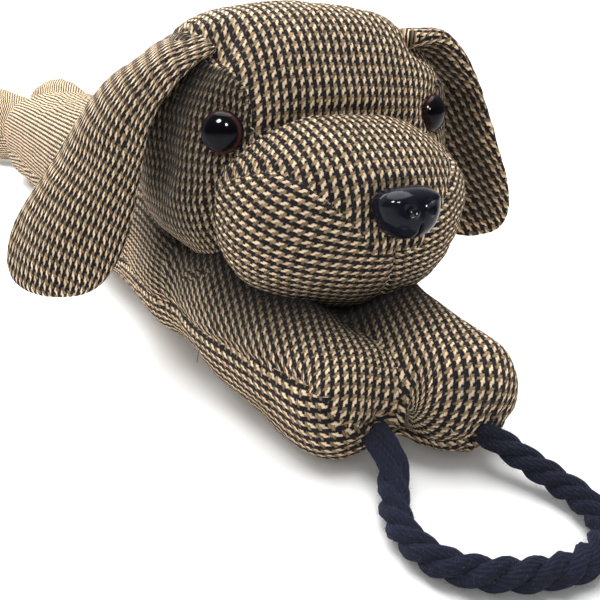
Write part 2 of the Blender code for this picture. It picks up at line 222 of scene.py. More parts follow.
# The camera of the photograph, the floor, and the places of the loose thread ends
CAMERA_PLACE = (-0.14869, -0.23390, 0.13697)
CAMERA_FORWARD = (0.45850, 0.81453, -0.35542)
CAMERA_LENS = 40.15
CAMERA_SENSOR = 36.0
FLOOR_REACH = 6.0
FLOOR_DROP = 0.0002
THREAD_RADIUS = 0.00014
THREAD_SIDES = 8
LOOSE_THREADS = (
    ("thread_black", "dark", ((-0.0560, -0.0060, 0.0335), (-0.0625, -0.0050, 0.0292),
                              (-0.0648, -0.0030, 0.0235), (-0.0652, -0.0005, 0.0170))),
    ("thread_paw", "pale", ((-0.0112, -0.0915, 0.0185), (-0.0109, -0.0925, 0.0176),
                            (-0.0103, -0.0925, 0.0173))),
    ("thread_eye", "pale", ((-0.0418, -0.0075, 0.1092), (-0.0414, -0.0080, 0.1088),
                            (-0.0410, -0.0084, 0.1085))),
    ("thread_chin", "pale", ((0.0000, -0.0500, 0.0686), (0.0005, -0.0503, 0.0680),
                             (0.0009, -0.0503, 0.0677))),
)

# Loose fibres
FIBRES_A_SQUARE_METRE = (
    ("body_cover", 22000.0),
    ("head_cover", 45000.0),
    ("muzzle_cover", 45000.0),
    ("ear_cover_right", 40000.0),
    ("ear_cover_left", 40000.0),
)
CORD_FIBRES = 500000.0
CORD_FIBRE_LENGTH = 0.0013
FIBRE_LOWEST = 0.00002

HEAD_LOW, HEAD_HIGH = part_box("head")
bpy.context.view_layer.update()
ORIGIN = np.array(((HEAD_LOW.x + HEAD_HIGH.x) / 2, HEAD_HIGH.y - HEAD_AHEAD - HEAD_BACK, 0.0))


# Plain geometry

def placed(points):
    """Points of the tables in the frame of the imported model."""
    return np.asarray(points, float) + ORIGIN


def smooth_rows(rows, count):
    """Evenly spaced rows of one smooth curve through a table's rows."""
    table = np.asarray(rows, float)
    last = len(table) - 1
    places = np.linspace(0.0, last, count)
    index = np.minimum(places.astype(int), last - 1)
    t = (places - index)[:, None]
    before = table[np.maximum(index - 1, 0)]
    start = table[index]
    end = table[index + 1]
    after = table[np.minimum(index + 2, last)]
    lift = 2 * start + (end - before) * t
    lift += (2 * before - 5 * start + 4 * end - after) * t ** 2
    lift += (3 * start - before - 3 * end + after) * t ** 3
    return lift / 2


def unit(vectors):
    """Rows of vectors made one long."""
    return vectors / np.linalg.norm(vectors, axis=1, keepdims=True)


def circle(count):
    """Evenly spaced angles once round."""
    return np.linspace(0, 2 * np.pi, count, endpoint=False)


def run_along(line):
    """Length along a line up to each of its points."""
    return np.concatenate(([0.0], np.cumsum(np.linalg.norm(np.diff(line, axis=0), axis=1))))


def even_points(points, count):
    """Points at equal distances along a line."""
    along = run_along(points)
    wanted = np.linspace(0.0, along[-1], count)
    return np.stack([np.interp(wanted, along, points[:, k]) for k in range(3)], axis=1)


def rounded(angles, squareness):
    """Points of the superellipse with unit half sizes."""
    c, s = np.cos(angles), np.sin(angles)
    reach = (np.abs(c) ** squareness + np.abs(s) ** squareness) ** (-1.0 / squareness)
    return c * reach, s * reach


def section_arc(angles, right, left, up, down, squareness, count=1441):
    """Length along a superellipse section, from its first axis to each angle."""
    table = np.linspace(-np.pi, np.pi, count)
    c, s = rounded(table, squareness)
    line = np.stack((c * np.where(c > 0, right, left), s * np.where(s > 0, up, down)), axis=1)
    found = np.arctan2(line[:, 1], line[:, 0])
    found[0] = -np.pi
    found[-1] = np.pi
    run = run_along(line)
    run -= run[count // 2]
    return np.interp(angles, found, run)


def vertex_normals(points, faces):
    """Outward normals of a closed mesh of quads."""
    corners = points[faces]
    across = np.cross(corners[:, 2] - corners[:, 0], corners[:, 3] - corners[:, 1])
    total = np.zeros_like(points)
    for k in range(faces.shape[1]):
        np.add.at(total, faces[:, k], across)
    return total / np.maximum(np.linalg.norm(total, axis=1, keepdims=True), 1e-12)


def line_distance(points, line):
    """Distance to the nearest point of a finely divided line, and that point's index."""
    nearest = np.full(len(points), 1e9)
    index = np.zeros(len(points), int)
    for start in range(0, len(points), 4000):
        gap = points[start:start + 4000, None] - line[None]
        far = np.einsum("ijk,ijk->ij", gap, gap)
        index[start:start + 4000] = far.argmin(axis=1)
        nearest[start:start + 4000] = np.sqrt(far.min(axis=1))
    return nearest, index


def fade(distance, width):
    """1 at no distance, falling smoothly to 0 over about twice the width."""
    return np.exp(-(distance / width) ** 2)


def lumps(points, sizes, seed):
    """Soft random relief between about -1 and 1, with lumps of one size or of three along X, Y and Z."""
    draw = np.random.default_rng(seed)
    scaled = points / np.asarray(sizes)
    total = np.zeros(len(points))
    for _ in range(14):
        way = draw.normal(size=3)
        way *= draw.uniform(0.6, 1.4) * np.pi / np.linalg.norm(way)
        total += np.sin(scaled @ way + draw.uniform(0, 2 * np.pi))
    return total / math.sqrt(14 / 2) / 1.6


def gathers(distance, along, reach, pitch, seed):
    """Small puckers that run away from a seam, uneven in spacing."""
    draw = np.random.default_rng(seed)
    wave = np.zeros(np.shape(along))
    for share in (0.8, 1.0, 1.35):
        wave += np.sin(2 * np.pi * along / (pitch * share) + draw.uniform(0, 2 * np.pi))
    return wave / 3 * np.exp(-np.abs(distance) / reach)


def seam_relief(points, line, depth, width, reach, pitch, gather, seed):
    """A sewn seam: the surface drawn in along a line, with small gathers beside it."""
    fine = even_points(line, 260)
    step = np.linalg.norm(fine[1] - fine[0])
    distance, index = line_distance(points, fine)
    relief = -depth * fade(distance, width)
    return relief + gather * gathers(distance, index * step, reach, pitch, seed)


class StuffedForm:
    """A round-cornered stuffed form, given by its half sizes from a centre."""

    def __init__(self, centre, side, front, back, up, down, squareness, tip=0.0):
        self.centre = np.asarray(centre, float)
        self.halves = (side, front, back, up, down)
        self.squareness = squareness
        c, s = math.cos(tip), math.sin(tip)
        self.turn = np.array(((1, 0, 0), (0, c, -s), (0, s, c)))

    def local(self, points):
        return (points - self.centre) @ self.turn

    def reach(self, ways):
        side, front, back, up, down = self.halves
        halves = np.stack((
            np.full(len(ways), side),
            np.where(ways[:, 1] < 0, front, back),
            np.where(ways[:, 2] > 0, up, down),
        ), axis=1)
        total = (np.abs(ways / halves) ** self.squareness).sum(axis=1)
        return total ** (-1.0 / self.squareness)

    def surface(self, ways):
        return self.centre + (ways * self.reach(ways)[:, None]) @ self.turn.T

    def mesh(self, cells):
        """Points, outward normals and quads over the whole surface."""
        ways, faces = cube_sphere(cells)
        points = self.surface(ways)
        return points, vertex_normals(points, faces), faces

    def outside(self, points):
        """How far points lie outside the surface, along the line from the centre."""
        offset = self.local(points)
        size = np.linalg.norm(offset, axis=1)
        return size - self.reach(offset / size[:, None])

    def at(self, x, angle):
        """Surface points at a distance to the side and an angle over the form from its front."""
        side, front, back, up, down = self.halves
        n = self.squareness
        c, s = np.cos(angle), np.sin(angle)
        y_half = np.where(c > 0, front, back)
        z_half = np.where(s > 0, up, down)
        ring = np.abs(c / y_half) ** n + np.abs(s / z_half) ** n
        reach = (np.maximum(1 - np.abs(x / side) ** n, 0) / ring) ** (1 / n)
        return self.centre + np.stack((x, -c * reach, s * reach), axis=1) @ self.turn.T

    def over(self, points):
        """Angle over the form from its front, and the distance to the side."""
        offset = self.local(points)
        angle = np.arctan2(offset[:, 2], -offset[:, 1])
        return np.where(angle < -2.0, angle + 2 * np.pi, angle), offset[:, 0]

    def top_cloth(self, points):
        """Cloth coordinates of the top panel: across, and over from the front."""
        side, front, back, up, down = self.halves
        offset = self.local(points)
        angle = np.arctan2(offset[:, 2], -offset[:, 1])
        v = section_arc(angle, front, back, up, down, self.squareness)
        share = np.clip(offset[:, 0] / side, -0.995, 0.995)
        rise = (1 - np.abs(share) ** self.squareness) ** (1 / self.squareness)
        u = section_arc(np.arctan2(share * side, rise * up), up, up, side, side, self.squareness)
        return u, v

    def side_cloth(self, points):
        """Cloth coordinates of a side panel: round from the front, and up."""
        side, front, back, up, down = self.halves
        offset = self.local(points)
        round_angle = np.arctan2(offset[:, 0], -offset[:, 1])
        u = section_arc(round_angle, front, back, side, side, self.squareness)
        lift = np.arctan2(offset[:, 2], np.hypot(offset[:, 0], offset[:, 1]))
        v = section_arc(lift, side, side, up, down, self.squareness)
        return u, v


HEAD = StuffedForm(
    (0.0, HEAD_AHEAD, HEAD_CENTRE_HEIGHT), (HEAD_HIGH.x - HEAD_LOW.x) / 2, HEAD_FRONT, HEAD_BACK,
    HEAD_HIGH.z - HEAD_CENTRE_HEIGHT, HEAD_CENTRE_HEIGHT - HEAD_LOW.z, HEAD_SQUARENESS)
MUZZLE = StuffedForm(MUZZLE_CENTRE, *MUZZLE_HALVES, MUZZLE_SQUARENESS, MUZZLE_TIP_DOWN)
NOSE = StuffedForm(NOSE_PLACE, *NOSE_HALVES, NOSE_SQUARENESS, NOSE_TIP_BACK)


def cube_sphere(cells):
    """Unit directions and quads of a cube's faces, evenly divided and blown round."""
    steps = np.tan(np.linspace(-1, 1, cells + 1) * np.pi / 4)
    a, b = np.meshgrid(steps, steps, indexing="ij")
    one = np.ones_like(a)
    sides = ((one, a, b), (-one, b, a), (b, one, a), (a, -one, b), (a, b, one), (b, a, -one))
    points = np.concatenate([np.stack(s, axis=-1).reshape(-1, 3) for s in sides])
    rows = cells + 1
    corner = (np.arange(cells)[:, None] * rows + np.arange(cells)).reshape(-1)
    quad = np.stack((corner, corner + rows, corner + rows + 1, corner + 1), axis=1)
    faces = np.concatenate([quad + k * rows * rows for k in range(6)])
    kept, index = np.unique(np.round(points, 6), axis=0, return_inverse=True)
    return unit(kept), index.reshape(-1)[faces]


def ring_faces(rings, size):
    """Quads between rings of equal length."""
    first = (np.arange(rings - 1)[:, None] * size + np.arange(size)).reshape(-1)
    step = (np.arange(rings - 1)[:, None] * size + (np.arange(size) + 1) % size).reshape(-1)
    return np.stack((first, step, step + size, first + size), axis=1)


def tube_faces(rings, size, start=0):
    """Quads between rings of equal length, and the two ends that close them."""
    last = start + (rings - 1) * size
    faces = [tuple(face) for face in ring_faces(rings, size) + start]
    return faces + [tuple(range(start + size - 1, start - 1, -1)), tuple(range(last, last + size))]


def sides_of(line, lean):
    """Directions to the side of a line and up from it, at each of its points."""
    forward = unit(np.gradient(line, axis=0))
    side = unit(np.cross(forward, lean))
    return side, np.cross(side, forward)


def rings_round(line, side, up, across, lift):
    """Rings round the points of a line, from the reach of each ring to the side and up."""
    return line[:, None] + side[:, None] * across[..., None] + up[:, None] * lift[..., None]


def add_object(name, data):
    """A new object in the scene."""
    made = bpy.data.objects.new(name, data)
    bpy.context.scene.collection.objects.link(made)
    return made


def evaluated_mesh(thing):
    """A new mesh of an object with its modifiers applied."""
    seen = thing.evaluated_get(bpy.context.evaluated_depsgraph_get())
    return bpy.data.meshes.new_from_object(seen)


def read_all(items, key, count, kind=float):
    """One kind of value of every item of a mesh, as a flat array."""
    values = np.zeros(count, kind)
    items.foreach_get(key, values)
    return values


def make_piece(name, points, faces):
    """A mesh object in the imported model's frame from points of the tables."""
    mesh = bpy.data.meshes.new(name)
    mesh.from_pydata(placed(points).tolist(), [], [list(face) for face in faces])
    mesh.update()
    mesh.shade_smooth()
    return add_object(name, mesh)


def lay_cloth(piece, vertex_maps, face_panel):
    """Write cloth coordinates in metres: each face takes the map of its own panel."""
    mesh = piece.data
    corners = read_all(mesh.loops, "vertex_index", len(mesh.loops), int)
    sizes = read_all(mesh.polygons, "loop_total", len(mesh.polygons), int)
    panel = np.repeat(np.asarray(face_panel), sizes)
    maps = np.stack([np.stack(one, axis=1) for one in vertex_maps])
    values = maps[panel, corners].astype(np.float32)
    target = mesh.uv_layers.new(name="cloth")
    target.data.foreach_set("uv", values.reshape(-1))


def paint_shade(piece, depth):
    """Record the painted shade of each vertex, 0 to 1, for the tweed to darken: painted shade in creases,
    under the head and muzzle, and over the ear linings.
    """
    painted_shade = piece.data.attributes.new("painted_shade", "FLOAT", "POINT")
    painted_shade.data.foreach_set("value", np.clip(depth, 0.0, 1.0).astype(np.float32))


def turned_cloth(u, v, degrees, shift=(0.0, 0.0), across=1.0, along=1.0):
    """Cloth coordinates eased across and along, and turned and moved on the bolt."""
    angle = math.radians(degrees)
    c, s = math.cos(angle), math.sin(angle)
    u, v = u * across, v * along
    return u * c - v * s + shift[0], u * s + v * c + shift[1]


# Materials

def feed(tree, socket, value):
    """Link another node's output to a socket, or set the socket's own value."""
    if isinstance(value, Value):
        value = value.socket
    if isinstance(value, bpy.types.NodeSocket):
        tree.links.new(value, socket)
    elif socket.type == "RGBA":
        socket.default_value = (*value, 1.0)[:4]
    else:
        socket.default_value = value


def add_node(tree, kind, inputs, **settings):
    """The outputs of a new node, made with its settings and with its inputs by place or name."""
    made = tree.nodes.new(kind)
    for name, value in settings.items():
        setattr(made, name, value)
    for place, value in inputs.items():
        feed(tree, made.inputs[place], value)
    return made.outputs


class Value:
    """A number in a material, reckoned with like any other number."""

    def __init__(self, tree, socket):
        self.tree = tree
        self.socket = socket

    def math(self, operation, *others):
        """A math node of this number and others."""
        numbers = dict(enumerate((self, *others)))
        return Value(self.tree, add_node(self.tree, "ShaderNodeMath", numbers, operation=operation)[0])

    def __add__(self, other):
        return self.math("ADD", other)

    def __sub__(self, other):
        return self.math("SUBTRACT", other)

    def __rsub__(self, other):
        outputs = add_node(self.tree, "ShaderNodeMath", {0: other, 1: self}, operation="SUBTRACT")
        return Value(self.tree, outputs[0])

    def __mul__(self, other):
        return self.math("MULTIPLY", other)

    def __truediv__(self, other):
        return self.math("DIVIDE", other)

    def __mod__(self, other):
        return self.math("FLOORED_MODULO", other)

    def __pow__(self, other):
        return self.math("POWER", other)

    def __lt__(self, other):
        return self.math("LESS_THAN", other)

    def mapped(self, low, high, to_low=0.0, to_high=1.0):
        """This number moved from one range to another, and kept inside it."""
        ends = dict(enumerate((self, low, high, to_low, to_high)))
        return Value(self.tree, add_node(self.tree, "ShaderNodeMapRange", ends)[0])


class Shader:
    """One procedural material, with short calls for its nodes."""

    def __init__(self, name):
        self.material = bpy.data.materials.new(name)
        self.material.use_nodes = True
        self.tree = self.material.node_tree
        self.surface = self.tree.nodes["Principled BSDF"]

    def node(self, kind, inputs, output, **settings):
        return Value(self.tree, add_node(self.tree, kind, inputs, **settings)[output])

    def mix(self, factor, a, b):
        return self.node("ShaderNodeMix", {0: factor, 6: a, 7: b}, 2, data_type="RGBA")

    def split(self, vector):
        outputs = add_node(self.tree, "ShaderNodeSeparateXYZ", {0: vector})
        return [Value(self.tree, output) for output in outputs]

    def join(self, x, y, z):
        return self.node("ShaderNodeCombineXYZ", {0: x, 1: y, 2: z}, 0)

    def noise(self, vector, scale, detail):
        inputs = {"Vector": vector, "Scale": scale, "Detail": detail}
        return self.node("ShaderNodeTexNoise", inputs, "Fac")

    def random(self, vector):
        return self.node("ShaderNodeTexWhiteNoise", {"Vector": vector}, "Value", noise_dimensions="3D")

    def scaled(self, colour, factor):
        return self.node("ShaderNodeVectorMath", {0: colour, "Scale": factor}, 0, operation="SCALE")

    def cloth_map(self):
        return self.node("ShaderNodeUVMap", {}, 0, uv_map="cloth")

    def own_place(self):
        return self.node("ShaderNodeTexCoord", {}, "Object")

    def bump(self, height, distance, strength):
        inputs = {"Strength": strength, "Distance": distance, "Height": height}
        feed(self.tree, self.surface.inputs["Normal"], self.node("ShaderNodeBump", inputs, 0))

    def finish(self, **values):
        for name, value in values.items():
            feed(self.tree, self.surface.inputs[name.replace("_", " ")], value)
        return self.material


def tweed_material(cloth):
    """Dogtooth tweed woven from its yarns: a 2 and 2 twill of light and dark yarns in pairs."""
    s = Shader("dogtooth_tweed")
    place = s.cloth_map()
    u, v, _ = s.split(place)
    wander_u = s.noise(place, 420.0, 2.0) - 0.5
    wander_v = s.noise(s.join(v, u, 3.0), 420.0, 2.0) - 0.5
    hair_u = s.noise(place, 3600.0, 1.0) - 0.5
    hair_v = s.noise(s.join(v, u, 7.0), 3600.0, 1.0) - 0.5
    warp = (u + (wander_u * 0.0009 + hair_u * 0.0006)) / (cloth.repeat_across / 4)
    weft = (v + (wander_v * 0.0009 + hair_v * 0.0008)) / (cloth.repeat_along / 4)
    i = warp.math("FLOOR")
    j = weft.math("FLOOR")
    in_warp = warp - i
    in_weft = weft - j
    lean = i + (in_warp - 0.5) * cloth.fleck_lean
    k = (weft - lean + 2.0) % 4.0
    warp_on_top = k < 2.0
    warp_light = i % 4.0 < 1.5
    weft_light = j % 4.0 < 1.5

    def arch(value, power):
        return (value * math.pi).math("SINE").math("MAXIMUM", 0.0001) ** power

    split = arch(in_warp, 1.0).mapped(0.0, 1.0, 0.72, 1.0)
    warp_round = arch(warp % 2.0 * 0.5, 0.4) * arch(k * 0.5, 0.6) * split
    weft_round = arch(in_weft, 0.5) * arch((4.0 - k) * 0.5, 0.5)
    # Painted shade: besides driving the bump, the height darkens the colour below, so the cloth is painted
    # darker between the raised yarns. The fibre and broad noise there are the yarns' own uneven tone.
    height = warp_round * warp_on_top + weft_round * 0.75 * (1.0 - warp_on_top)

    float_start = ((weft - lean) / 4.0).math("FLOOR")
    pair_number = (warp * 0.5).math("FLOOR")
    tint = s.random(s.join(pair_number, float_start, warp_on_top))
    hue = s.random(s.join(pair_number, float_start, 9.5))
    fibre = s.noise(s.join(u * 5200.0, v * 2400.0, 1.0), 1.0, 2.0)
    broad = s.noise(place, 55.0, 2.0)

    def yarn(dye, other_dye, darkest, lightest):
        """A colour between two dyes, its brightness drawn afresh for each float of the yarn."""
        return s.scaled(s.mix(hue, dye, other_dye), tint.mapped(0.0, 1.0, darkest, lightest))

    warp_colour = s.mix(warp_light, yarn(cloth.navy, cloth.navy_green, 0.5, 1.6),
                        yarn(cloth.cream, cloth.cream_warm, 0.82, 1.18))
    weft_colour = s.mix(weft_light, yarn(cloth.navy, cloth.brown_black, 0.6, 1.7),
                        yarn(cloth.tan, cloth.tan_grey, 0.55, 1.35))
    colour = s.mix(warp_on_top, weft_colour, warp_colour)
    # Painted shade: the colour is darkened down to 0.06 of itself where the painted shade attribute is
    # full.
    painted_shade = s.node("ShaderNodeAttribute", {}, "Fac", attribute_name="painted_shade")
    shade = height.mapped(0.0, 1.0, 0.50, 1.22) * fibre.mapped(0.2, 0.8, 0.75, 1.25)
    shade = shade * broad.mapped(0.3, 0.7, 0.92, 1.07) * painted_shade.mapped(0.0, 1.0, 1.0, 0.06)
    s.bump(height + fibre * 0.35, cloth.yarn_relief, 0.9)
    return s.finish(
        Base_Color=s.scaled(colour, shade), Roughness=0.92, Sheen_Weight=cloth.sheen,
        Sheen_Roughness=0.45, Sheen_Tint=(1.0, 0.86, 0.70), Specular_IOR_Level=0.10)


def cord_material(cord):
    """Soft-twisted cotton: fine yarns wound round each strand, navy with lighter fibres and a painted
    highlight along the crest of each yarn.
    """
    s = Shader("navy_cord")
    place = s.cloth_map()
    u, v, _ = s.split(place)
    wander = s.noise(place, 700.0, 2.0) * 1.6
    turn = u * (2 * math.pi / 0.0030) + v * (2 * math.pi / 0.00125)
    yarn = (turn + wander).math("SINE").mapped(-1.0, 1.0)
    fibre = s.noise(s.join(u * 2500.0, v * 6000.0, 2.0), 1.0, 3.0)
    # Painted highlight: the crest of each wound yarn, broken up by the fibre noise, takes the lighter
    # painted highlight colour.
    light = yarn.mapped(0.0, 1.0, 0.15, 1.0) * fibre.mapped(0.3, 0.75)
    broad = s.noise(place, 120.0, 2.0).mapped(0.3, 0.7, 0.8, 1.25)
    s.bump(yarn * 0.8 + fibre, 0.00035, 0.9)
    return s.finish(
        Base_Color=s.scaled(s.mix(light, cord.navy, cord.highlight), broad), Roughness=0.85,
        Sheen_Weight=0.06, Sheen_Roughness=0.5, Sheen_Tint=(0.5, 0.6, 1.0), Specular_IOR_Level=0.12)


def eye_material(name, eyes, shine, specular):
    """Black pupil, brown ring and dark rim, seen off centre through the thick dome."""
    s = Shader(name)
    u, v, _ = s.split(s.cloth_map())
    u = u + eyes.pupil_shift
    grain = s.noise(s.cloth_map(), 7.0, 3.0)
    edge = (u * u + v * v).math("SQRT") + (grain - 0.5) * 0.04
    ring = edge.mapped(eyes.pupil_share - 0.05, eyes.pupil_share + 0.05)
    brown = s.scaled(eyes.iris, grain.mapped(0.3, 0.7, 0.6, 1.5))
    colour = s.mix(edge.mapped(0.97, 1.06), s.mix(ring, eyes.pupil, brown), eyes.pupil)
    return s.finish(Base_Color=colour, Roughness=grain.mapped(*shine), Specular_IOR_Level=specular)


def nose_material(nose):
    """Moulded navy-black plastic with a faint orange-peel surface."""
    s = Shader("nose_plastic")
    place = s.own_place()
    wear = s.noise(place, 1500.0, 3.0)
    s.bump(s.noise(place, 420.0, 2.0), 0.00025, 0.35)
    colour = s.mix(wear, nose.colour, [1.5 * c for c in nose.colour])
    return s.finish(Base_Color=colour, Roughness=wear.mapped(0.3, 0.8, 0.04, 0.12),
                    Specular_IOR_Level=0.12)


def thread_material(name, colour):
    """Sewing thread with its fine twist."""
    s = Shader(name)
    twist = s.noise(s.own_place(), 5000.0, 2.0)
    s.bump(twist, 0.00008, 0.8)
    shade = s.scaled(colour, twist.mapped(0.3, 0.7, 0.6, 1.2))
    return s.finish(Base_Color=shade, Roughness=0.7, Sheen_Weight=0.2)


def floor_material(stage):
    """Matt pale paper that glows more and more towards the back."""
    s = Shader("pale_floor")
    grain = s.noise(s.own_place(), 40.0, 4.0)
    colour = s.scaled(stage.floor_colour, grain.mapped(0.0, 1.0, 0.995, 1.0))
    _, y, _ = s.split(s.own_place())
    return s.finish(Base_Color=colour, Roughness=0.9, Specular_IOR_Level=0.1,
                    Emission_Color=(1.0, 1.0, 1.0), Emission_Strength=y.mapped(0.1, 1.4, 0.08, 0.9))


def hand_over(piece, slot, *nodes):
    """Ride the piece on the object and hide the plain solids that it stands for; the slot is not used."""
    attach(piece, "root")
    if nodes:
        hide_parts(*nodes)


def cover(piece, node):
    """Finish a stuffed cover: its tweed and the solid that it stands for."""
    cloth = bpy.context.scene.puppy_cloth
    piece.data.materials.append(bpy.data.materials.get("dogtooth_tweed") or tweed_material(cloth))
    hand_over(piece, "tweed", node)


# Settings

def length_property(name, description, default):
    return bpy.props.FloatProperty(name=name, description=description, default=default, min=0.0,
                                   precision=5, subtype="DISTANCE", unit="LENGTH")


def colour_property(name, description, default):
    return bpy.props.FloatVectorProperty(name=name, description=description, default=default,
                                         size=3, min=0.0, max=1.0, subtype="COLOR")


def share_property(name, description, default):
    return bpy.props.FloatProperty(name=name, description=description, default=default,
                                   min=0.0, max=1.0, subtype="FACTOR")


class PuppyClothSettings(bpy.types.PropertyGroup):
    """The tweed and how it is sewn."""
    repeat_across: length_property("Check across", "Width of one dogtooth check", 0.0035)
    repeat_along: length_property("Check along", "Length of one dogtooth check", 0.0042)
    fleck_lean: share_property("Fleck lean", "How far the end of a float leans across its yarn", 0.35)
    yarn_relief: length_property("Yarn relief", "Height of a yarn over the cloth", 0.0005)
    sheen: share_property("Sheen", "Pale bloom of the wool at a low angle", 0.05)
    cream: colour_property("Cream yarn", "Colour of the light warp yarn", (0.97, 0.79, 0.54))
    cream_warm: colour_property("Warm cream", "Warmer light warp yarn", (0.96, 0.73, 0.50))
    tan: colour_property("Tan yarn", "Colour of the light weft yarn", (0.46, 0.300, 0.150))
    tan_grey: colour_property("Grey tan", "Greyer light weft yarn", (0.35, 0.250, 0.150))
    navy: colour_property("Navy yarn", "Colour of the dark yarn", (0.008, 0.007, 0.016))
    navy_green: colour_property("Green black", "Greener dark yarn", (0.009, 0.012, 0.010))
    brown_black: colour_property("Brown black", "Browner dark yarn", (0.024, 0.014, 0.012))
    seam_depth: length_property("Seam depth", "How far a seam is drawn in", 0.0016)
    cheek_ease: bpy.props.FloatProperty(name="Cheek easing", default=1.4, min=0.5, max=2.0,
                                        description="How far the cheeks' cloth is gathered in sideways")
    fuzz_length: length_property("Fuzz length", "Length of a loose wool fibre", 0.0016)
    fuzz_radius: length_property("Fuzz radius", "Radius of a loose fibre", 0.00003)


class PuppyCordSettings(bpy.types.PropertyGroup):
    """The cord handle."""
    navy: colour_property("Navy", "Colour of the cord", (0.0024, 0.0034, 0.0135))
    # Painted highlight colour for the crests of the cord's yarns, broken up by its fibres.
    highlight: colour_property("Highlight", "Colour of its raised fibres", (0.0100, 0.0135, 0.040))


class PuppyFaceSettings(bpy.types.PropertyGroup):
    """The eyes and the nose."""
    iris: colour_property("Iris", "Brown ring round the pupil", (0.050, 0.021, 0.021))
    pupil: colour_property("Pupil colour", "Colour of the pupil and the rim", (0.003, 0.003, 0.005))
    pupil_share: share_property("Pupil", "Pupil radius as a share of the eye", 0.86)
    pupil_shift: share_property("Pupil shift", "How far the pupil is seen off centre", 0.13)
    colour: colour_property("Nose", "Colour of the nose", (0.006, 0.007, 0.012))


class PuppyStageSettings(bpy.types.PropertyGroup):
    """Floor and light."""
    floor_colour: colour_property("Floor", "Colour of the floor", (0.90, 0.90, 0.90))
    key_power: bpy.props.FloatProperty(name="Key light", description="Power of the soft light",
                                       default=16.5, min=0.0, subtype="POWER", unit="POWER")
    window_power: bpy.props.FloatProperty(name="Window light", description="Power of the small front lamps",
                                          default=15.0, min=0.0, subtype="POWER", unit="POWER")


# Pieces

class PUPPY_OT_stage(bpy.types.Operator):
    """Pale floor, soft light and the camera"""
    bl_idname = "puppy.stage"
    bl_label = "Stage"

    def execute(self, context):
        stage = context.scene.puppy_stage
        self.camera(context)
        self.floor(stage)
        self.light("key", (0.10, 0.14, 1.15), 1.1, stage.key_power)
        self.light("back", (-0.15, 0.95, 0.75), 0.8, stage.key_power * 1.1, (0.0, 0.85, 0.0))
        for name, place, size, share in (("window", (-0.42, -0.40, 0.66), 0.20, 1.0),
                                         ("lamp", (-0.16, -0.66, 0.50), 0.12, 0.35)):
            lamp = self.light(name, place, size, stage.window_power * share)
            lamp.visible_diffuse = False
        self.world(context)
        context.scene.view_settings.view_transform = "Standard"
        return {"FINISHED"}

    def world(self, context):
        """A room that is bright above and behind, and dim to the sides and behind the camera."""
        world = bpy.data.worlds.new("studio")
        world.use_nodes = True
        tree = world.node_tree
        way = add_node(tree, "ShaderNodeTexCoord", {})["Generated"]
        parts = add_node(tree, "ShaderNodeSeparateXYZ", {0: way})
        sums = {}
        slopes = (("Z", 0.15, 0.85, 0.40), ("Y", 0.20, 0.52, 1.15))
        for index, (axis, low, high, strength) in enumerate(slopes):
            ramp = {0: parts[axis], 1: low, 2: high, 3: 0.05, 4: strength}
            sums[index] = add_node(tree, "ShaderNodeMapRange", ramp, interpolation_type="SMOOTHSTEP")[0]
        background = tree.nodes["Background"].inputs
        feed(tree, background["Color"], (1.0, 1.0, 1.0))
        feed(tree, background["Strength"], add_node(tree, "ShaderNodeMath", sums)[0])
        context.scene.world = world

    def camera(self, context):
        data = bpy.data.cameras.new("photo_camera")
        data.sensor_width = CAMERA_SENSOR
        data.lens = CAMERA_LENS
        data.clip_start = 0.01
        place = placed(CAMERA_PLACE)
        context.scene.camera = self.aimed("photo_camera", data, place, Vector(CAMERA_FORWARD))

    def aimed(self, name, data, place, way):
        """A camera or a lamp at a place, looking along a direction."""
        made = add_object(name, data)
        made.location = place
        made.rotation_mode = "QUATERNION"
        made.rotation_quaternion = way.to_track_quat("-Z", "Y")
        return made

    def floor(self, stage):
        mesh = bpy.data.meshes.new("floor")
        shell = bmesh.new()
        bmesh.ops.create_grid(shell, x_segments=8, y_segments=8, size=FLOOR_REACH)
        shell.to_mesh(mesh)
        shell.free()
        mesh.materials.append(floor_material(stage))
        floor = add_object("floor", mesh)
        floor.location.z = -FLOOR_DROP

    def light(self, name, place, size, power, target=(0.0, 0.02, 0.08)):
        data = bpy.data.lights.new(name, "AREA")
        data.shape = "DISK"
        data.size = size
        data.energy = power
        start = Vector(placed(place))
        return self.aimed(name, data, start, Vector(placed(target)) - start)


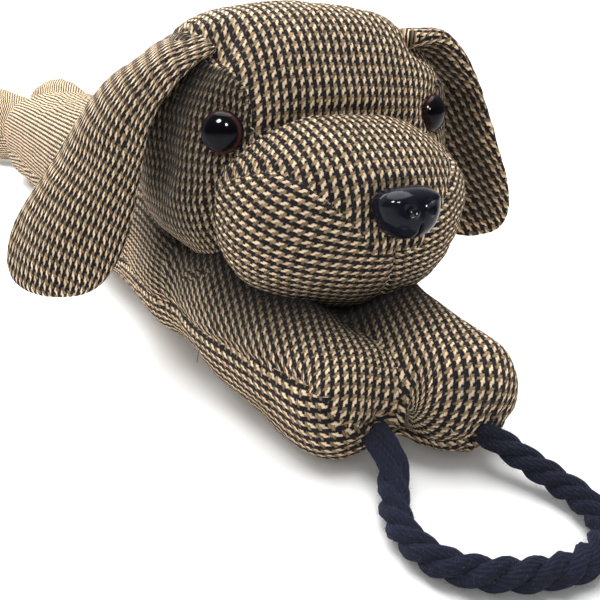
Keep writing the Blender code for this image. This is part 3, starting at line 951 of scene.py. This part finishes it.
class PUPPY_OT_cord_handle(bpy.types.Operator):
    """Twisted cord handle, three soft strands sewn into the paws"""
    bl_idname = "puppy.cord_handle"
    bl_label = "Cord handle"

    def execute(self, context):
        route = even_points(smooth_rows(ROPE_ROUTE, 600), ROPE_STEPS)
        step = np.linalg.norm(route[1] - route[0])
        length = step * (ROPE_STEPS - 1)
        side, up = sides_of(route, (0.0, 0.0, 1.0))
        along = np.arange(ROPE_STEPS) * step
        near_start = fade(along, 0.026)
        slack = 1.0 - 0.95 * near_start - 0.5 * fade(length - along, 0.012)
        turn = np.concatenate(([0.0], np.cumsum(2 * np.pi * step / ROPE_LAY * slack[1:])))
        flat = 1.0 + 0.30 * near_start
        strand_radius = ROPE_RADIUS * 0.575
        offset = ROPE_RADIUS * 0.425
        ring_angle = circle(STRAND_SIDES)
        points, faces = [], []
        for strand in range(ROPE_STRANDS):
            angle = turn + 2 * np.pi * strand / ROPE_STRANDS
            centre = route + side * (np.cos(angle) * offset * flat)[:, None]
            centre += up * (np.sin(angle) * offset / flat)[:, None]
            wound = ring_angle[None] * STRAND_YARNS - along[:, None] * 2 * np.pi / YARN_LAY
            uneven = 1.0 + 0.03 * np.sin(along * 2 * np.pi / 0.0085 + 2.1 * strand)[:, None]
            reach = strand_radius * (uneven + 0.05 * np.cos(wound))
            ring = rings_round(centre, side, up, np.cos(ring_angle) * reach * flat[:, None],
                               np.sin(ring_angle) * reach / flat[:, None])
            points.append(ring.reshape(-1, 3))
            faces += tube_faces(ROPE_STEPS, STRAND_SIDES, strand * ROPE_STEPS * STRAND_SIDES)
        cord = make_piece("cord_handle", np.concatenate(points), faces)
        across = np.tile(np.repeat(along, STRAND_SIDES), ROPE_STRANDS)
        around = np.tile(ring_angle * strand_radius, ROPE_STEPS * ROPE_STRANDS)
        lay_cloth(cord, [(across, around)], np.zeros(len(faces), int))
        set_outward(cord)
        cord.data.materials.append(cord_material(context.scene.puppy_cord))
        hand_over(cord, "cord", "rope_handle")
        return {"FINISHED"}


def set_outward(piece):
    """Turn every face outward."""
    shell = bmesh.new()
    shell.from_mesh(piece.data)
    bmesh.ops.recalc_face_normals(shell, faces=shell.faces)
    shell.to_mesh(piece.data)
    shell.free()


def edge_line(form, table, turn, count=220):
    """A panel's edge on a form, on the side that turn gives, as surface points."""
    rows = np.asarray(table) + (0.0, LEFT_EDGE_FURTHER if form is HEAD and turn > 0 else 0.0)
    angles = np.linspace(rows[0, 0], rows[-1, 0], count)
    width = np.interp(angles, rows[:, 0], rows[:, 1])
    return form.at(turn * width, np.radians(angles))


def on_top_panel(form, table, points):
    """True where points lie between the two edges of a form's top panel."""
    rows = np.asarray(table)
    angle, x = form.over(points)
    width = np.interp(np.degrees(angle), rows[:, 0], rows[:, 1], left=0.0)
    return (-x < width) & (x < width + (LEFT_EDGE_FURTHER if form is HEAD else 0.0))


def three_panels(form, table, centres):
    """0 for faces on a form's top panel, 1 and 2 for those on its right and left side panels."""
    side = np.where(centres[:, 0] < form.centre[0], 1, 2)
    return np.where(on_top_panel(form, table, centres), 0, side)


class PUPPY_OT_head(bpy.types.Operator):
    """Head: a forehead panel between two cheek panels, drawn in at the seams and round the eyes"""
    bl_idname = "puppy.head"
    bl_label = "Head"

    def execute(self, context):
        cloth = context.scene.puppy_cloth
        points, normals, faces = HEAD.mesh(HEAD_CELLS)
        relief = 0.0007 * lumps(points, 0.020, 11)
        relief += 0.00025 * lumps(points, 0.006, 12)
        for _, turn, eye in EYE_PLACES:
            line = edge_line(HEAD, FOREHEAD_EDGE, turn)
            relief += seam_relief(points, line, cloth.seam_depth, 0.0022, 0.008, 0.0075, 0.0004, 13)
            away = np.linalg.norm(points - np.asarray(eye), axis=1)
            relief -= 0.0016 * fade(np.maximum(away - 0.0075, 0.0), 0.0050)
        near_ear = np.ones(len(points))
        for table in (EAR_RIGHT, EAR_LEFT):
            edge = even_points(smooth_rows(table, 80)[:, :3], 120)
            away, _ = line_distance(points, edge)
            near_ear = np.minimum(near_ear, away)
            relief -= 0.0060 * fade(np.maximum(away - 0.003, 0.0), 0.0085)
        near_muzzle = MUZZLE.outside(points)
        relief -= 0.0015 * fade(near_muzzle, 0.0028)
        points = points + normals * relief[:, None]
        head = make_piece("head_cover", points, faces)
        top = HEAD.top_cloth(points)
        side = HEAD.side_cloth(points)
        panel = three_panels(HEAD, FOREHEAD_EDGE, points[faces].mean(axis=1))
        lay_cloth(head, [top, turned_cloth(side[0] * cloth.cheek_ease, side[1], 5.0, (0.0013, 0.0007)),
                         turned_cloth(side[0] * cloth.cheek_ease, side[1], -5.0, (0.0021, 0.0030))], panel)
        # Painted shade: the cheek panels are painted darker the nearer they lie to an ear, fading out 47 mm
        # from it. The forehead panel gets none.
        paint_shade(head, np.where(on_top_panel(HEAD, FOREHEAD_EDGE, points), 0.0, 1.0 - near_ear / 0.047))
        cover(head, "head")
        return {"FINISHED"}


class PUPPY_OT_muzzle(bpy.types.Operator):
    """Muzzle: a gusset over the top and two side panels, joined under the nose"""
    bl_idname = "puppy.muzzle"
    bl_label = "Muzzle"

    def execute(self, context):
        cloth = context.scene.puppy_cloth
        points, normals, faces = MUZZLE.mesh(MUZZLE_CELLS)
        relief = 0.0006 * lumps(points, 0.018, 21)
        relief += 0.00022 * lumps(points, 0.005, 22)
        for turn in (-1.0, 1.0):
            line = edge_line(MUZZLE, GUSSET_EDGE, turn)
            relief += seam_relief(points, line, cloth.seam_depth * 0.5, 0.0016, 0.006, 0.0065, 0.0003, 23)
        chin = MUZZLE.at(np.zeros(120), np.linspace(math.radians(4), math.radians(-100), 120))
        relief += seam_relief(points, chin, cloth.seam_depth * 0.6, 0.0016, 0.007, 0.0065, 0.00035, 24)
        relief -= 0.0014 * fade(NOSE.outside(points), 0.0030)
        relief -= 0.0014 * fade(HEAD.outside(points), 0.0026)
        points = points + normals * relief[:, None]
        muzzle = make_piece("muzzle_cover", points, faces)
        top = MUZZLE.top_cloth(points)
        side = MUZZLE.side_cloth(points)
        panel = three_panels(MUZZLE, GUSSET_EDGE, points[faces].mean(axis=1))
        lay_cloth(muzzle, [top, turned_cloth(side[1], side[0], -9.0, (0.001, 0.002)),
                           turned_cloth(side[1], -side[0], -9.0, (0.003, 0.001))], panel)
        # Painted shade: the muzzle is painted darker towards its bottom, under the chin, fading out 24 mm
        # up.
        paint_shade(muzzle, 1.0 - (points[:, 2] - points[:, 2].min()) / 0.024)
        cover(muzzle, "muzzle")
        return {"FINISHED"}


def limb_rings(table, squareness):
    """Points and quads of a stuffed limb with domed ends, closed at both poles."""
    rows = smooth_rows(table, LIMB_STATIONS)
    heading = unit(np.gradient(rows[:, :2], axis=0))
    across, lift = rounded(circle(LIMB_POINTS), squareness)
    domes = np.radians(np.linspace(84, 8, 10))
    stations = [(rows[0], heading[0], math.cos(a), -math.sin(a)) for a in domes]
    stations += [(row, way, 1.0, 0.0) for row, way in zip(rows, heading)]
    stations += [(rows[-1], heading[-1], math.cos(a), math.sin(a)) for a in domes[::-1]]
    rings = []
    for (x, y, z, half_width, half_height), way, shrink, reach in stations:
        ahead = reach * DOME_REACH * half_width
        side = across * half_width * shrink
        ring = np.stack((x + way[0] * ahead + way[1] * side, y + way[1] * ahead - way[0] * side,
                         z + lift * half_height * shrink), axis=1)
        rings.append(ring)
    return np.concatenate(rings), ring_faces(len(rings), LIMB_POINTS), len(rings)


def joined_limbs():
    """The trunk and the four legs as one smooth closed surface."""
    mesh = bpy.data.meshes.new("limbs")
    shell = bmesh.new()
    for table in (TRUNK, FRONT_LEG_RIGHT, FRONT_LEG_LEFT, HIND_LEG_RIGHT, HIND_LEG_LEFT):
        points, faces, rings = limb_rings(table, TRUNK_SQUARENESS if table is TRUNK else LEG_SQUARENESS)
        verts = [shell.verts.new(point) for point in points]
        for face in faces:
            shell.faces.new([verts[k] for k in face])
        shell.faces.new(verts[:LIMB_POINTS])
        shell.faces.new(verts[-LIMB_POINTS:])
    bmesh.ops.recalc_face_normals(shell, faces=shell.faces)
    shell.to_mesh(mesh)
    shell.free()
    limbs = add_object("limbs", mesh)
    remesh = limbs.modifiers.new("Remesh", "REMESH")
    remesh.mode = "VOXEL"
    remesh.voxel_size = BODY_VOXEL
    soften = limbs.modifiers.new("Smooth", "SMOOTH")
    soften.factor = 0.5
    soften.iterations = BODY_SMOOTHING
    finer = limbs.modifiers.new("Subdivision", "SUBSURF")
    finer.levels = 1
    finer.render_levels = 1
    final = evaluated_mesh(limbs)
    points = read_all(final.vertices, "co", 3 * len(final.vertices))
    corners = read_all(final.loops, "vertex_index", len(final.loops), int)
    bpy.data.objects.remove(limbs, do_unlink=True)
    return points.reshape(-1, 3), corners.reshape(-1, 4)


class Limb:
    """Where points lie on one stuffed limb, for its cloth coordinates."""

    def __init__(self, points, table, squareness, domed):
        rows = smooth_rows(table, LIMB_STATIONS)
        rows = rows[np.argsort(rows[:, 1])]
        self.squareness = squareness
        self.domed = domed
        self.y = np.clip(points[:, 1], rows[0, 1], rows[-1, 1])
        self.x0, self.z0, self.wide, self.high = (
            np.interp(self.y, rows[:, 1], rows[:, k]) for k in (0, 2, 3, 4))
        self.side = (points[:, 0] - self.x0) / self.wide
        self.lift = (points[:, 2] - self.z0) / self.high
        self.reach = DOME_REACH * self.wide
        self.beyond = (points[:, 1] - self.y) / self.reach
        self.past = (points[:, 1] - self.y) * (0.0 if domed else 1.0)
        self.beyond_cloth = self.beyond * (1.0 if domed else 0.0)

    def outside(self):
        """How far points lie from the limb's surface."""
        n = self.squareness
        section = (np.abs(self.side) ** n + np.abs(self.lift) ** n) ** (1 / n)
        return np.abs(np.hypot(section, self.beyond) - 1.0) * self.wide

    def top_cloth(self):
        """Across the ridge, and along it and down over the rounded end."""
        n = self.squareness
        share = np.clip(self.side, -0.995, 0.995)
        over = np.arctan2(share, (1 - np.abs(share) ** n) ** (1 / n))
        lean = np.where(self.beyond_cloth == 0.0, np.arctan2(self.side, self.lift), over)
        u = section_arc(lean, 1.0, 1.0, 1.0, 1.0, n) * (self.wide + self.high) / 2
        down = np.arctan2(np.abs(self.beyond_cloth), np.maximum(self.lift, -0.9))
        down = np.where(self.beyond_cloth == 0.0, 0.0, down) * np.sign(self.beyond)
        shaft = (self.y + self.past) * (1.25 if self.domed else 1.0)
        return self.x0 + u, shaft + down * (self.reach + self.high) / 2

    def side_cloth(self):
        """Up the side, and along it and round the end."""
        u = self.high * np.arcsin(np.clip(self.lift, -0.98, 0.98))
        turn = np.arctan2(np.abs(self.beyond_cloth), np.abs(self.side)) * np.sign(self.beyond)
        far = self.y + self.past + turn * (self.reach + self.wide) / 2
        tip = self.y + np.pi / 4 * (self.reach + self.wide) * np.sign(self.beyond)
        around = (self.side > 0) & (self.beyond_cloth != 0.0)
        return u, np.where(around, 2 * tip - far, far)


class PUPPY_OT_body(bpy.types.Operator):
    """Body: trunk and legs, a top panel sewn to the underside panel along the sides"""
    bl_idname = "puppy.body"
    bl_label = "Body"

    limbs = (
        (TRUNK, TRUNK_SQUARENESS, False),
        (FRONT_LEG_RIGHT, LEG_SQUARENESS, True),
        (FRONT_LEG_LEFT, LEG_SQUARENESS, True),
        (HIND_LEG_RIGHT, LEG_SQUARENESS, True),
        (HIND_LEG_LEFT, LEG_SQUARENESS, True),
    )
    seam_right = ((-0.0780, 0.0150), (-0.0737, 0.0200), (-0.0700, 0.0289), (-0.0589, 0.0319),
                  (-0.0461, 0.0310), (0.0, 0.0297), (0.10, 0.0330), (0.60, 0.0350), (0.70, 0.0360))
    seam_left = ((-0.0950, 0.0095), (-0.0780, 0.0150), (-0.0620, 0.0240), (-0.0500, 0.0300),
                 (0.0, 0.0297), (0.10, 0.0330), (0.60, 0.0350), (0.70, 0.0360))
    seam_between = ((-0.0950, 0.0095), (-0.0620, 0.0095), (-0.0450, 0.0130), (0.0, 0.0297), (0.70, 0.0360))

    def seam_level(self, points):
        """Height of the seam between the top and the underside, lower round the paws."""
        right, left = (Limb(points, *self.limbs[index]) for index in (1, 2))
        levels = []
        for table in (self.seam_right, self.seam_left, self.seam_between):
            rows = np.asarray(table)
            levels.append(np.interp(points[:, 1], rows[:, 0], rows[:, 1]))
        level = np.where(left.side < 0.3, levels[2], levels[1])
        return np.where(right.outside() < left.outside(), levels[0], level)

    def relief(self, points, cloth):
        folds = 0.0011 * lumps(points, (0.016, 0.075, 0.022), 31)
        folds += 0.0005 * lumps(points, (0.012, 0.018, 0.012), 32)
        folds += 0.00022 * lumps(points, (0.005, 0.006, 0.005), 33)
        above = points[:, 2] - self.seam_level(points)
        folds -= cloth.seam_depth * fade(above, 0.0020)
        folds += 0.00035 * gathers(above, points[:, 1], 0.007, 0.008, 34)
        for end in (ROPE_ROUTE[0], ROPE_ROUTE[-1]):
            way = np.asarray(end)
            away = np.linalg.norm(points - way, axis=1)
            folds -= 0.0020 * fade(away, 0.0095)
            spin = np.arctan2(points[:, 2] - way[2], points[:, 0] - way[0])
            folds += 0.0006 * np.sin(7 * spin) * fade(np.maximum(away - 0.006, 0), 0.008)
        folds -= 0.0012 * fade(HEAD.outside(points), 0.0030)
        return folds

    def execute(self, context):
        cloth = context.scene.puppy_cloth
        points, faces = joined_limbs()
        normals = vertex_normals(points, faces)
        maps, far = [], []
        for limb in [Limb(points, *settings) for settings in self.limbs]:
            maps += [turned_cloth(*limb.top_cloth(), 18.0 if limb.domed else 0.0),
                     turned_cloth(*limb.side_cloth(), -6.0, (0.0017, 0.0009))]
            far.append(limb.outside()[faces].mean(axis=1))
        centres = points[faces].mean(axis=1)
        below = centres[:, 2] < self.seam_level(centres)
        panel = 2 * np.argmin(far, axis=0) + below
        points = points + normals * self.relief(points, cloth)[:, None]
        points[:, 2] = FLOOR_SOFTNESS * np.logaddexp(0.0, points[:, 2] / FLOOR_SOFTNESS)
        body = make_piece("body_cover", points, faces)
        lay_cloth(body, maps, panel)
        # Painted shade: the body is painted darker where it lies within 30 mm of the head and the muzzle,
        # under and beside them.
        paint_shade(body, 1.0 - np.minimum(HEAD.outside(points), MUZZLE.outside(points)) / 0.030)
        cover(body, "body")
        return {"FINISHED"}


class PUPPY_OT_ears(bpy.types.Operator):
    """Ears: an outer piece and a lining, turned, with the seam just inside the edge"""
    bl_idname = "puppy.ears"
    bl_label = "Ears"

    def ear(self, name, node, table, facing):
        rows = smooth_rows(table, EAR_STATIONS)
        front, back = rows[:, :3], rows[:, 3:]
        middle = (front + back) / 2
        across = (back - front) / 2
        face = unit(np.cross(across, np.gradient(middle, axis=0)) * facing)
        along = np.linspace(0, 1, EAR_STATIONS)[:, None]
        length = run_along(middle)[:, None]
        tip = np.maximum((along - EAR_TIP_START) / (1.003 - EAR_TIP_START), 0.0)
        narrow = np.sqrt(1.0 - tip ** 2.6)
        half = np.linalg.norm(across, axis=1, keepdims=True) * narrow
        width, depth = rounded(circle(EAR_RING), EAR_SQUARENESS)
        thick = 0.5 * EAR_THICKNESS * (0.5 + 0.5 * narrow)
        bow = EAR_BOW * (1.0 - width ** 2) * (narrow * (0.4 + 0.6 * along))
        points = middle[:, None] + across[:, None] * (width * narrow)[..., None]
        points = points + face[:, None] * (depth * thick + bow)[..., None]
        edge = np.minimum(half * (1.0 - np.abs(width)), np.maximum(length[-1] - length, 0.0) * 0.8)
        groove = 0.0009 * fade(edge - EAR_SEAM_INSET, 0.0013)
        soft = 0.0007 * lumps(points.reshape(-1, 3), 0.016, 41)
        soft = soft + 0.0003 * lumps(points.reshape(-1, 3), 0.006, 42)
        pucker = 0.0004 * gathers(edge, length, 0.006, 0.008, 43)
        push = (soft.reshape(edge.shape) + pucker - groove) * (np.sign(depth) * np.abs(depth) ** 0.5)
        points = points + face[:, None] * push[..., None]
        ear = make_piece(name, points.reshape(-1, 3), tube_faces(EAR_STATIONS, EAR_RING))
        rim = thick * (1.0 - np.abs(depth))
        u = (width * half + np.sign(width) * rim).reshape(-1)
        v = -np.repeat(length, EAR_RING)
        outer = np.tile(depth > 0, EAR_STATIONS)
        quads = ring_faces(EAR_STATIONS, EAR_RING)
        panel = np.concatenate((np.where(outer[quads].mean(axis=1) > 0.5, 0, 1), (0, 0)))
        turn, across, along = (-14.0, 1.46, 0.88) if facing > 0 else (-20.0, 0.65, 0.82)
        outside = (across, along) if facing > 0 else (1.0, 1.0)
        lay_cloth(ear, [turned_cloth(u * facing, v, turn, (0.0, 0.0), *outside),
                        turned_cloth(-u * facing, v, -turn, (0.002, 0.001), across, along)], panel)
        # Painted shade: the lining is painted darker away from the band along its edge, with 0.55 of the
        # full painted shade.
        lining = (depth < 0) * np.clip((edge - EAR_SEAM_INSET) / 0.004, 0.0, 1.0)
        paint_shade(ear, 0.55 * lining.reshape(-1))
        set_outward(ear)
        cover(ear, node)

    def execute(self, context):
        self.ear("ear_cover_right", "ear_right", EAR_RIGHT, 1.0)
        self.ear("ear_cover_left", "ear_left", EAR_LEFT, -1.0)
        return {"FINISHED"}


def turned_piece(name, profile, place, way):
    """A turned piece with its axis along a direction, from radius and height of its profile."""
    profile = np.asarray(profile, float)
    angles = circle(EYE_STEPS)
    inner = profile[1:-1]
    rings = np.stack([np.stack((r * np.cos(angles), r * np.sin(angles), np.full(EYE_STEPS, h)), axis=1)
                      for r, h in inner])
    poles = np.array(((0, 0, profile[0, 1]), (0, 0, profile[-1, 1])))
    flat = np.concatenate((rings.reshape(-1, 3), poles))
    faces = [tuple(face) for face in ring_faces(len(inner), EYE_STEPS)]
    first, last = len(flat) - 2, len(flat) - 1
    base = (len(inner) - 1) * EYE_STEPS
    for k in range(EYE_STEPS):
        after = (k + 1) % EYE_STEPS
        faces.append((first, after, k))
        faces.append((last, base + k, base + after))
    turn = np.array(Vector(way).to_track_quat("Z", "Y").to_matrix())
    piece = make_piece(name, np.asarray(place) + flat @ turn.T, faces)
    radius = profile[:, 0].max()
    lay_cloth(piece, [(flat[:, 0] / radius, flat[:, 1] / radius)], np.zeros(len(faces), int))
    set_outward(piece)
    return piece


class PUPPY_OT_eyes(bpy.types.Operator):
    """Eyes: glossy domes with a dark brown ring round the pupil, over their painted backs"""
    bl_idname = "puppy.eyes"
    bl_label = "Eyes"

    def execute(self, context):
        face = context.scene.puppy_face
        lens = eye_material("eye_resin", face, (0.2, 0.8, 0.05, 0.10), 0.11)
        iris = eye_material("eye_back", face, (0.0, 1.0, 0.5, 0.7), 0.2)
        arch = np.linspace(np.pi / 2, 0.0, 26)
        dome = [(EYE_RADIUS * math.cos(a), EYE_DOME * math.sin(a)) for a in arch]
        dome += [(EYE_RADIUS * 0.995, -EYE_SKIRT * 0.5), (EYE_RADIUS * 0.96, -EYE_SKIRT)]
        dome += [(EYE_RADIUS * 0.90, -EYE_SKIRT), (0.0, -EYE_SKIRT)]
        back = [(0.0, 0.0009), (0.0030, 0.0008), (0.0055, 0.0002), (0.0072, -0.0008),
                (0.00745, -0.0012), (0.0072, -0.0022), (0.0, -0.0023)]
        for name, turn, eye_place in EYE_PLACES:
            place = np.asarray(eye_place) - (0.0, 0.0, EYE_SINK)
            way = np.asarray(EYE_LOOK) * (turn, 1.0, 1.0)
            eye = turned_piece("eye_dome_" + name, dome, place, way)
            eye.data.materials.append(lens)
            hand_over(eye, "lens", "eye_" + name)
            disc = turned_piece("eye_iris_" + name, back, place, way)
            disc.data.materials.append(iris)
            hand_over(disc, "pupil", "pupil_" + name)
        return {"FINISHED"}


class PUPPY_OT_nose(bpy.types.Operator):
    """Nose: a rounded moulded triangle with two curled nostrils and a notch below"""
    bl_idname = "puppy.nose"
    bl_label = "Nose"

    def execute(self, context):
        points, normals, faces = NOSE.mesh(NOSE_CELLS)
        offset = NOSE.local(points)
        x, z = offset[:, 0], offset[:, 2]
        ahead = np.clip(-normals[:, 1] * 1.6 - 0.3, 0, 1)
        relief = np.zeros(len(points))
        for turn in (-1.0, 1.0):
            aside, above = x - turn * NOSTRIL_APART, z - NOSTRIL_HEIGHT
            away = np.hypot(aside, above)
            spin = np.arctan2(above, aside * turn)
            curl = np.clip(0.5 - 0.9 * np.cos(spin), 0, 1)
            relief += 0.0007 * fade(away - 0.0023, 0.0008) * curl
            relief -= 0.0013 * fade(away, 0.0014)
        relief -= 0.0016 * fade(x, 0.0006) * np.clip((-z - 0.0038) / 0.002, 0, 1)
        relief += 0.0005 * fade(z - 0.0045, 0.0020)
        points = points + normals * (relief * ahead)[:, None]
        share = 1.0 + NOSE_TAPER * (points[:, 2] - NOSE_PLACE[2]) / NOSE_HALVES[3]
        points[:, 0] = NOSE_PLACE[0] + (points[:, 0] - NOSE_PLACE[0]) * share
        nose = make_piece("nose_moulding", points, faces)
        nose.data.materials.append(nose_material(context.scene.puppy_face))
        hand_over(nose, "nose", "nose")
        return {"FINISHED"}


def fibre_nodes():
    """Geometry nodes that scatter short bent fibres over a surface and give back only them."""
    group = bpy.data.node_groups.new("wool_fibres", "GeometryNodeTree")
    group.interface.new_socket("Geometry", in_out="OUTPUT", socket_type="NodeSocketGeometry")
    for name, kind in (("Geometry", "Geometry"), ("Density", "Float"), ("Length", "Float"),
                       ("Radius", "Float"), ("Seed", "Int"), ("Material", "Material")):
        group.interface.new_socket(name, in_out="INPUT", socket_type="NodeSocket" + kind)

    def add(kind, inputs, **settings):
        return add_node(group, kind, inputs, **settings)

    entry = add("NodeGroupInput", {})
    seed, length = entry["Seed"], entry["Length"]
    points = add("GeometryNodeDistributePointsOnFaces",
                 {"Mesh": entry["Geometry"], "Density": entry["Density"], "Seed": seed})
    hair = add("GeometryNodeCurveQuadraticBezier",
               {"Resolution": 3, "Start": (0.0, 0.0, -0.1), "Middle": (0.0, 0.15, 0.6),
                "End": (0.0, 0.75, 0.8)})
    thin = add("ShaderNodeMath", {0: entry["Radius"], 1: length}, operation="DIVIDE")
    section = add("GeometryNodeCurvePrimitiveCircle", {"Resolution": 3, "Radius": thin[0]})
    tube = add("GeometryNodeCurveToMesh",
               {"Fill Caps": True, "Curve": hair[0], "Profile Curve": section["Curve"]})
    turn = add("FunctionNodeRandomValue",
               {"Min": (-0.9, -0.9, 0.0), "Max": (0.9, 0.9, 6.28), "Seed": seed}, data_type="FLOAT_VECTOR")
    size = add("FunctionNodeRandomValue", {2: 0.4, 3: 1.0, "Seed": seed})
    scale = add("ShaderNodeMath", {0: size[1], 1: length}, operation="MULTIPLY")
    lean = add("FunctionNodeRotateRotation",
               {"Rotation": points["Rotation"], "Rotate By": turn[0]}, rotation_space="LOCAL")
    place = add("GeometryNodeInstanceOnPoints",
                {"Points": points["Points"], "Instance": tube[0], "Rotation": lean[0], "Scale": scale[0]})
    real = add("GeometryNodeRealizeInstances", {0: place[0]})
    paint = add("GeometryNodeSetMaterial", {"Geometry": real[0], "Material": entry["Material"]})
    add("NodeGroupOutput", {0: paint[0]})
    return group


def scatter_fibres(name, source, slot, density, length, seed, material):
    """A piece of loose fibres standing on another piece's surface."""
    carrier = add_object(name, bpy.data.objects[source].data.copy())
    scatter = carrier.modifiers.new("Fibres", "NODES")
    scatter.node_group = bpy.data.node_groups.get("wool_fibres") or fibre_nodes()
    settings = {"Density": density, "Length": length, "Seed": seed, "Material": material,
                "Radius": bpy.context.scene.puppy_cloth.fuzz_radius}
    for item in scatter.node_group.interface.items_tree:
        if item.in_out == "INPUT" and item.name in settings:
            scatter[item.identifier] = settings[item.name]
    made = evaluated_mesh(carrier)
    carrier.modifiers.clear()
    carrier.data = made
    if not made.vertices:
        raise RuntimeError(name + " has no fibres")
    flat = read_all(made.vertices, "co", 3 * len(made.vertices))
    flat[2::3] = np.maximum(flat[2::3], FIBRE_LOWEST)
    made.vertices.foreach_set("co", flat)
    hand_over(carrier, slot)


class PUPPY_OT_fuzz(bpy.types.Operator):
    """Loose wool fibres over the tweed, and cotton fibres over the cord"""
    bl_idname = "puppy.fuzz"
    bl_label = "Fuzz"

    def execute(self, context):
        cloth = context.scene.puppy_cloth
        pale = thread_material("pale_wool", (0.62, 0.50, 0.36))
        navy = thread_material("navy_cotton", (0.012, 0.015, 0.035))
        for index, (name, density) in enumerate(FIBRES_A_SQUARE_METRE):
            scatter_fibres("fuzz_" + name, name, "tweed", density, cloth.fuzz_length, 60 + index, pale)
        scatter_fibres("fuzz_cord", "cord_handle", "cord", CORD_FIBRES, CORD_FIBRE_LENGTH, 70, navy)
        return {"FINISHED"}


class PUPPY_OT_loose_threads(bpy.types.Operator):
    """The short thread ends that are left at the seams"""
    bl_idname = "puppy.loose_threads"
    bl_label = "Loose threads"

    def execute(self, context):
        finishes = {
            "dark": thread_material("dark_thread", (0.006, 0.006, 0.010)),
            "pale": thread_material("pale_thread", (0.75, 0.75, 0.78)),
        }
        angles = circle(THREAD_SIDES)[None]
        across, lift = np.cos(angles) * THREAD_RADIUS, np.sin(angles) * THREAD_RADIUS
        for name, finish, route in LOOSE_THREADS:
            line = smooth_rows(route, 30)
            ring = rings_round(line, *sides_of(line, (0.3, 0.2, 1.0)), across, lift)
            thread = make_piece(name, ring.reshape(-1, 3), tube_faces(len(line), THREAD_SIDES))
            set_outward(thread)
            thread.data.materials.append(finishes[finish])
            hand_over(thread, "tweed")
        return {"FINISHED"}


class PUPPY_PT_pieces(bpy.types.Panel):
    """Lists the settings and the pieces"""
    bl_idname = "PUPPY_PT_pieces"
    bl_label = "Puppy draught excluder"
    bl_space_type = "VIEW_3D"
    bl_region_type = "UI"
    bl_category = "Puppy"

    def draw(self, context):
        for name, kind in SETTINGS:
            box = self.layout.box()
            for key in kind.__annotations__:
                box.prop(getattr(context.scene, name), key)
        for operator in OPERATORS:
            self.layout.operator(operator.bl_idname)


SETTINGS = (
    ("puppy_cloth", PuppyClothSettings),
    ("puppy_cord", PuppyCordSettings),
    ("puppy_face", PuppyFaceSettings),
    ("puppy_stage", PuppyStageSettings),
)
OPERATORS = (
    PUPPY_OT_stage,
    PUPPY_OT_cord_handle,
    PUPPY_OT_body,
    PUPPY_OT_head,
    PUPPY_OT_muzzle,
    PUPPY_OT_ears,
    PUPPY_OT_eyes,
    PUPPY_OT_nose,
    PUPPY_OT_fuzz,
    PUPPY_OT_loose_threads,
)


def register():
    for name, kind in SETTINGS:
        bpy.utils.register_class(kind)
        setattr(bpy.types.Scene, name, bpy.props.PointerProperty(type=kind))
    for kind in OPERATORS:
        bpy.utils.register_class(kind)
    bpy.utils.register_class(PUPPY_PT_pieces)


def unregister():
    bpy.utils.unregister_class(PUPPY_PT_pieces)
    for kind in reversed(OPERATORS):
        bpy.utils.unregister_class(kind)
    for name, kind in reversed(SETTINGS):
        delattr(bpy.types.Scene, name)
        bpy.utils.unregister_class(kind)


def main():
    """Make every piece in order."""
    register()
    for kind in OPERATORS:
        group, name = kind.bl_idname.split(".")
        getattr(getattr(bpy.ops, group), name)()


if __name__ == "__main__":
    main()
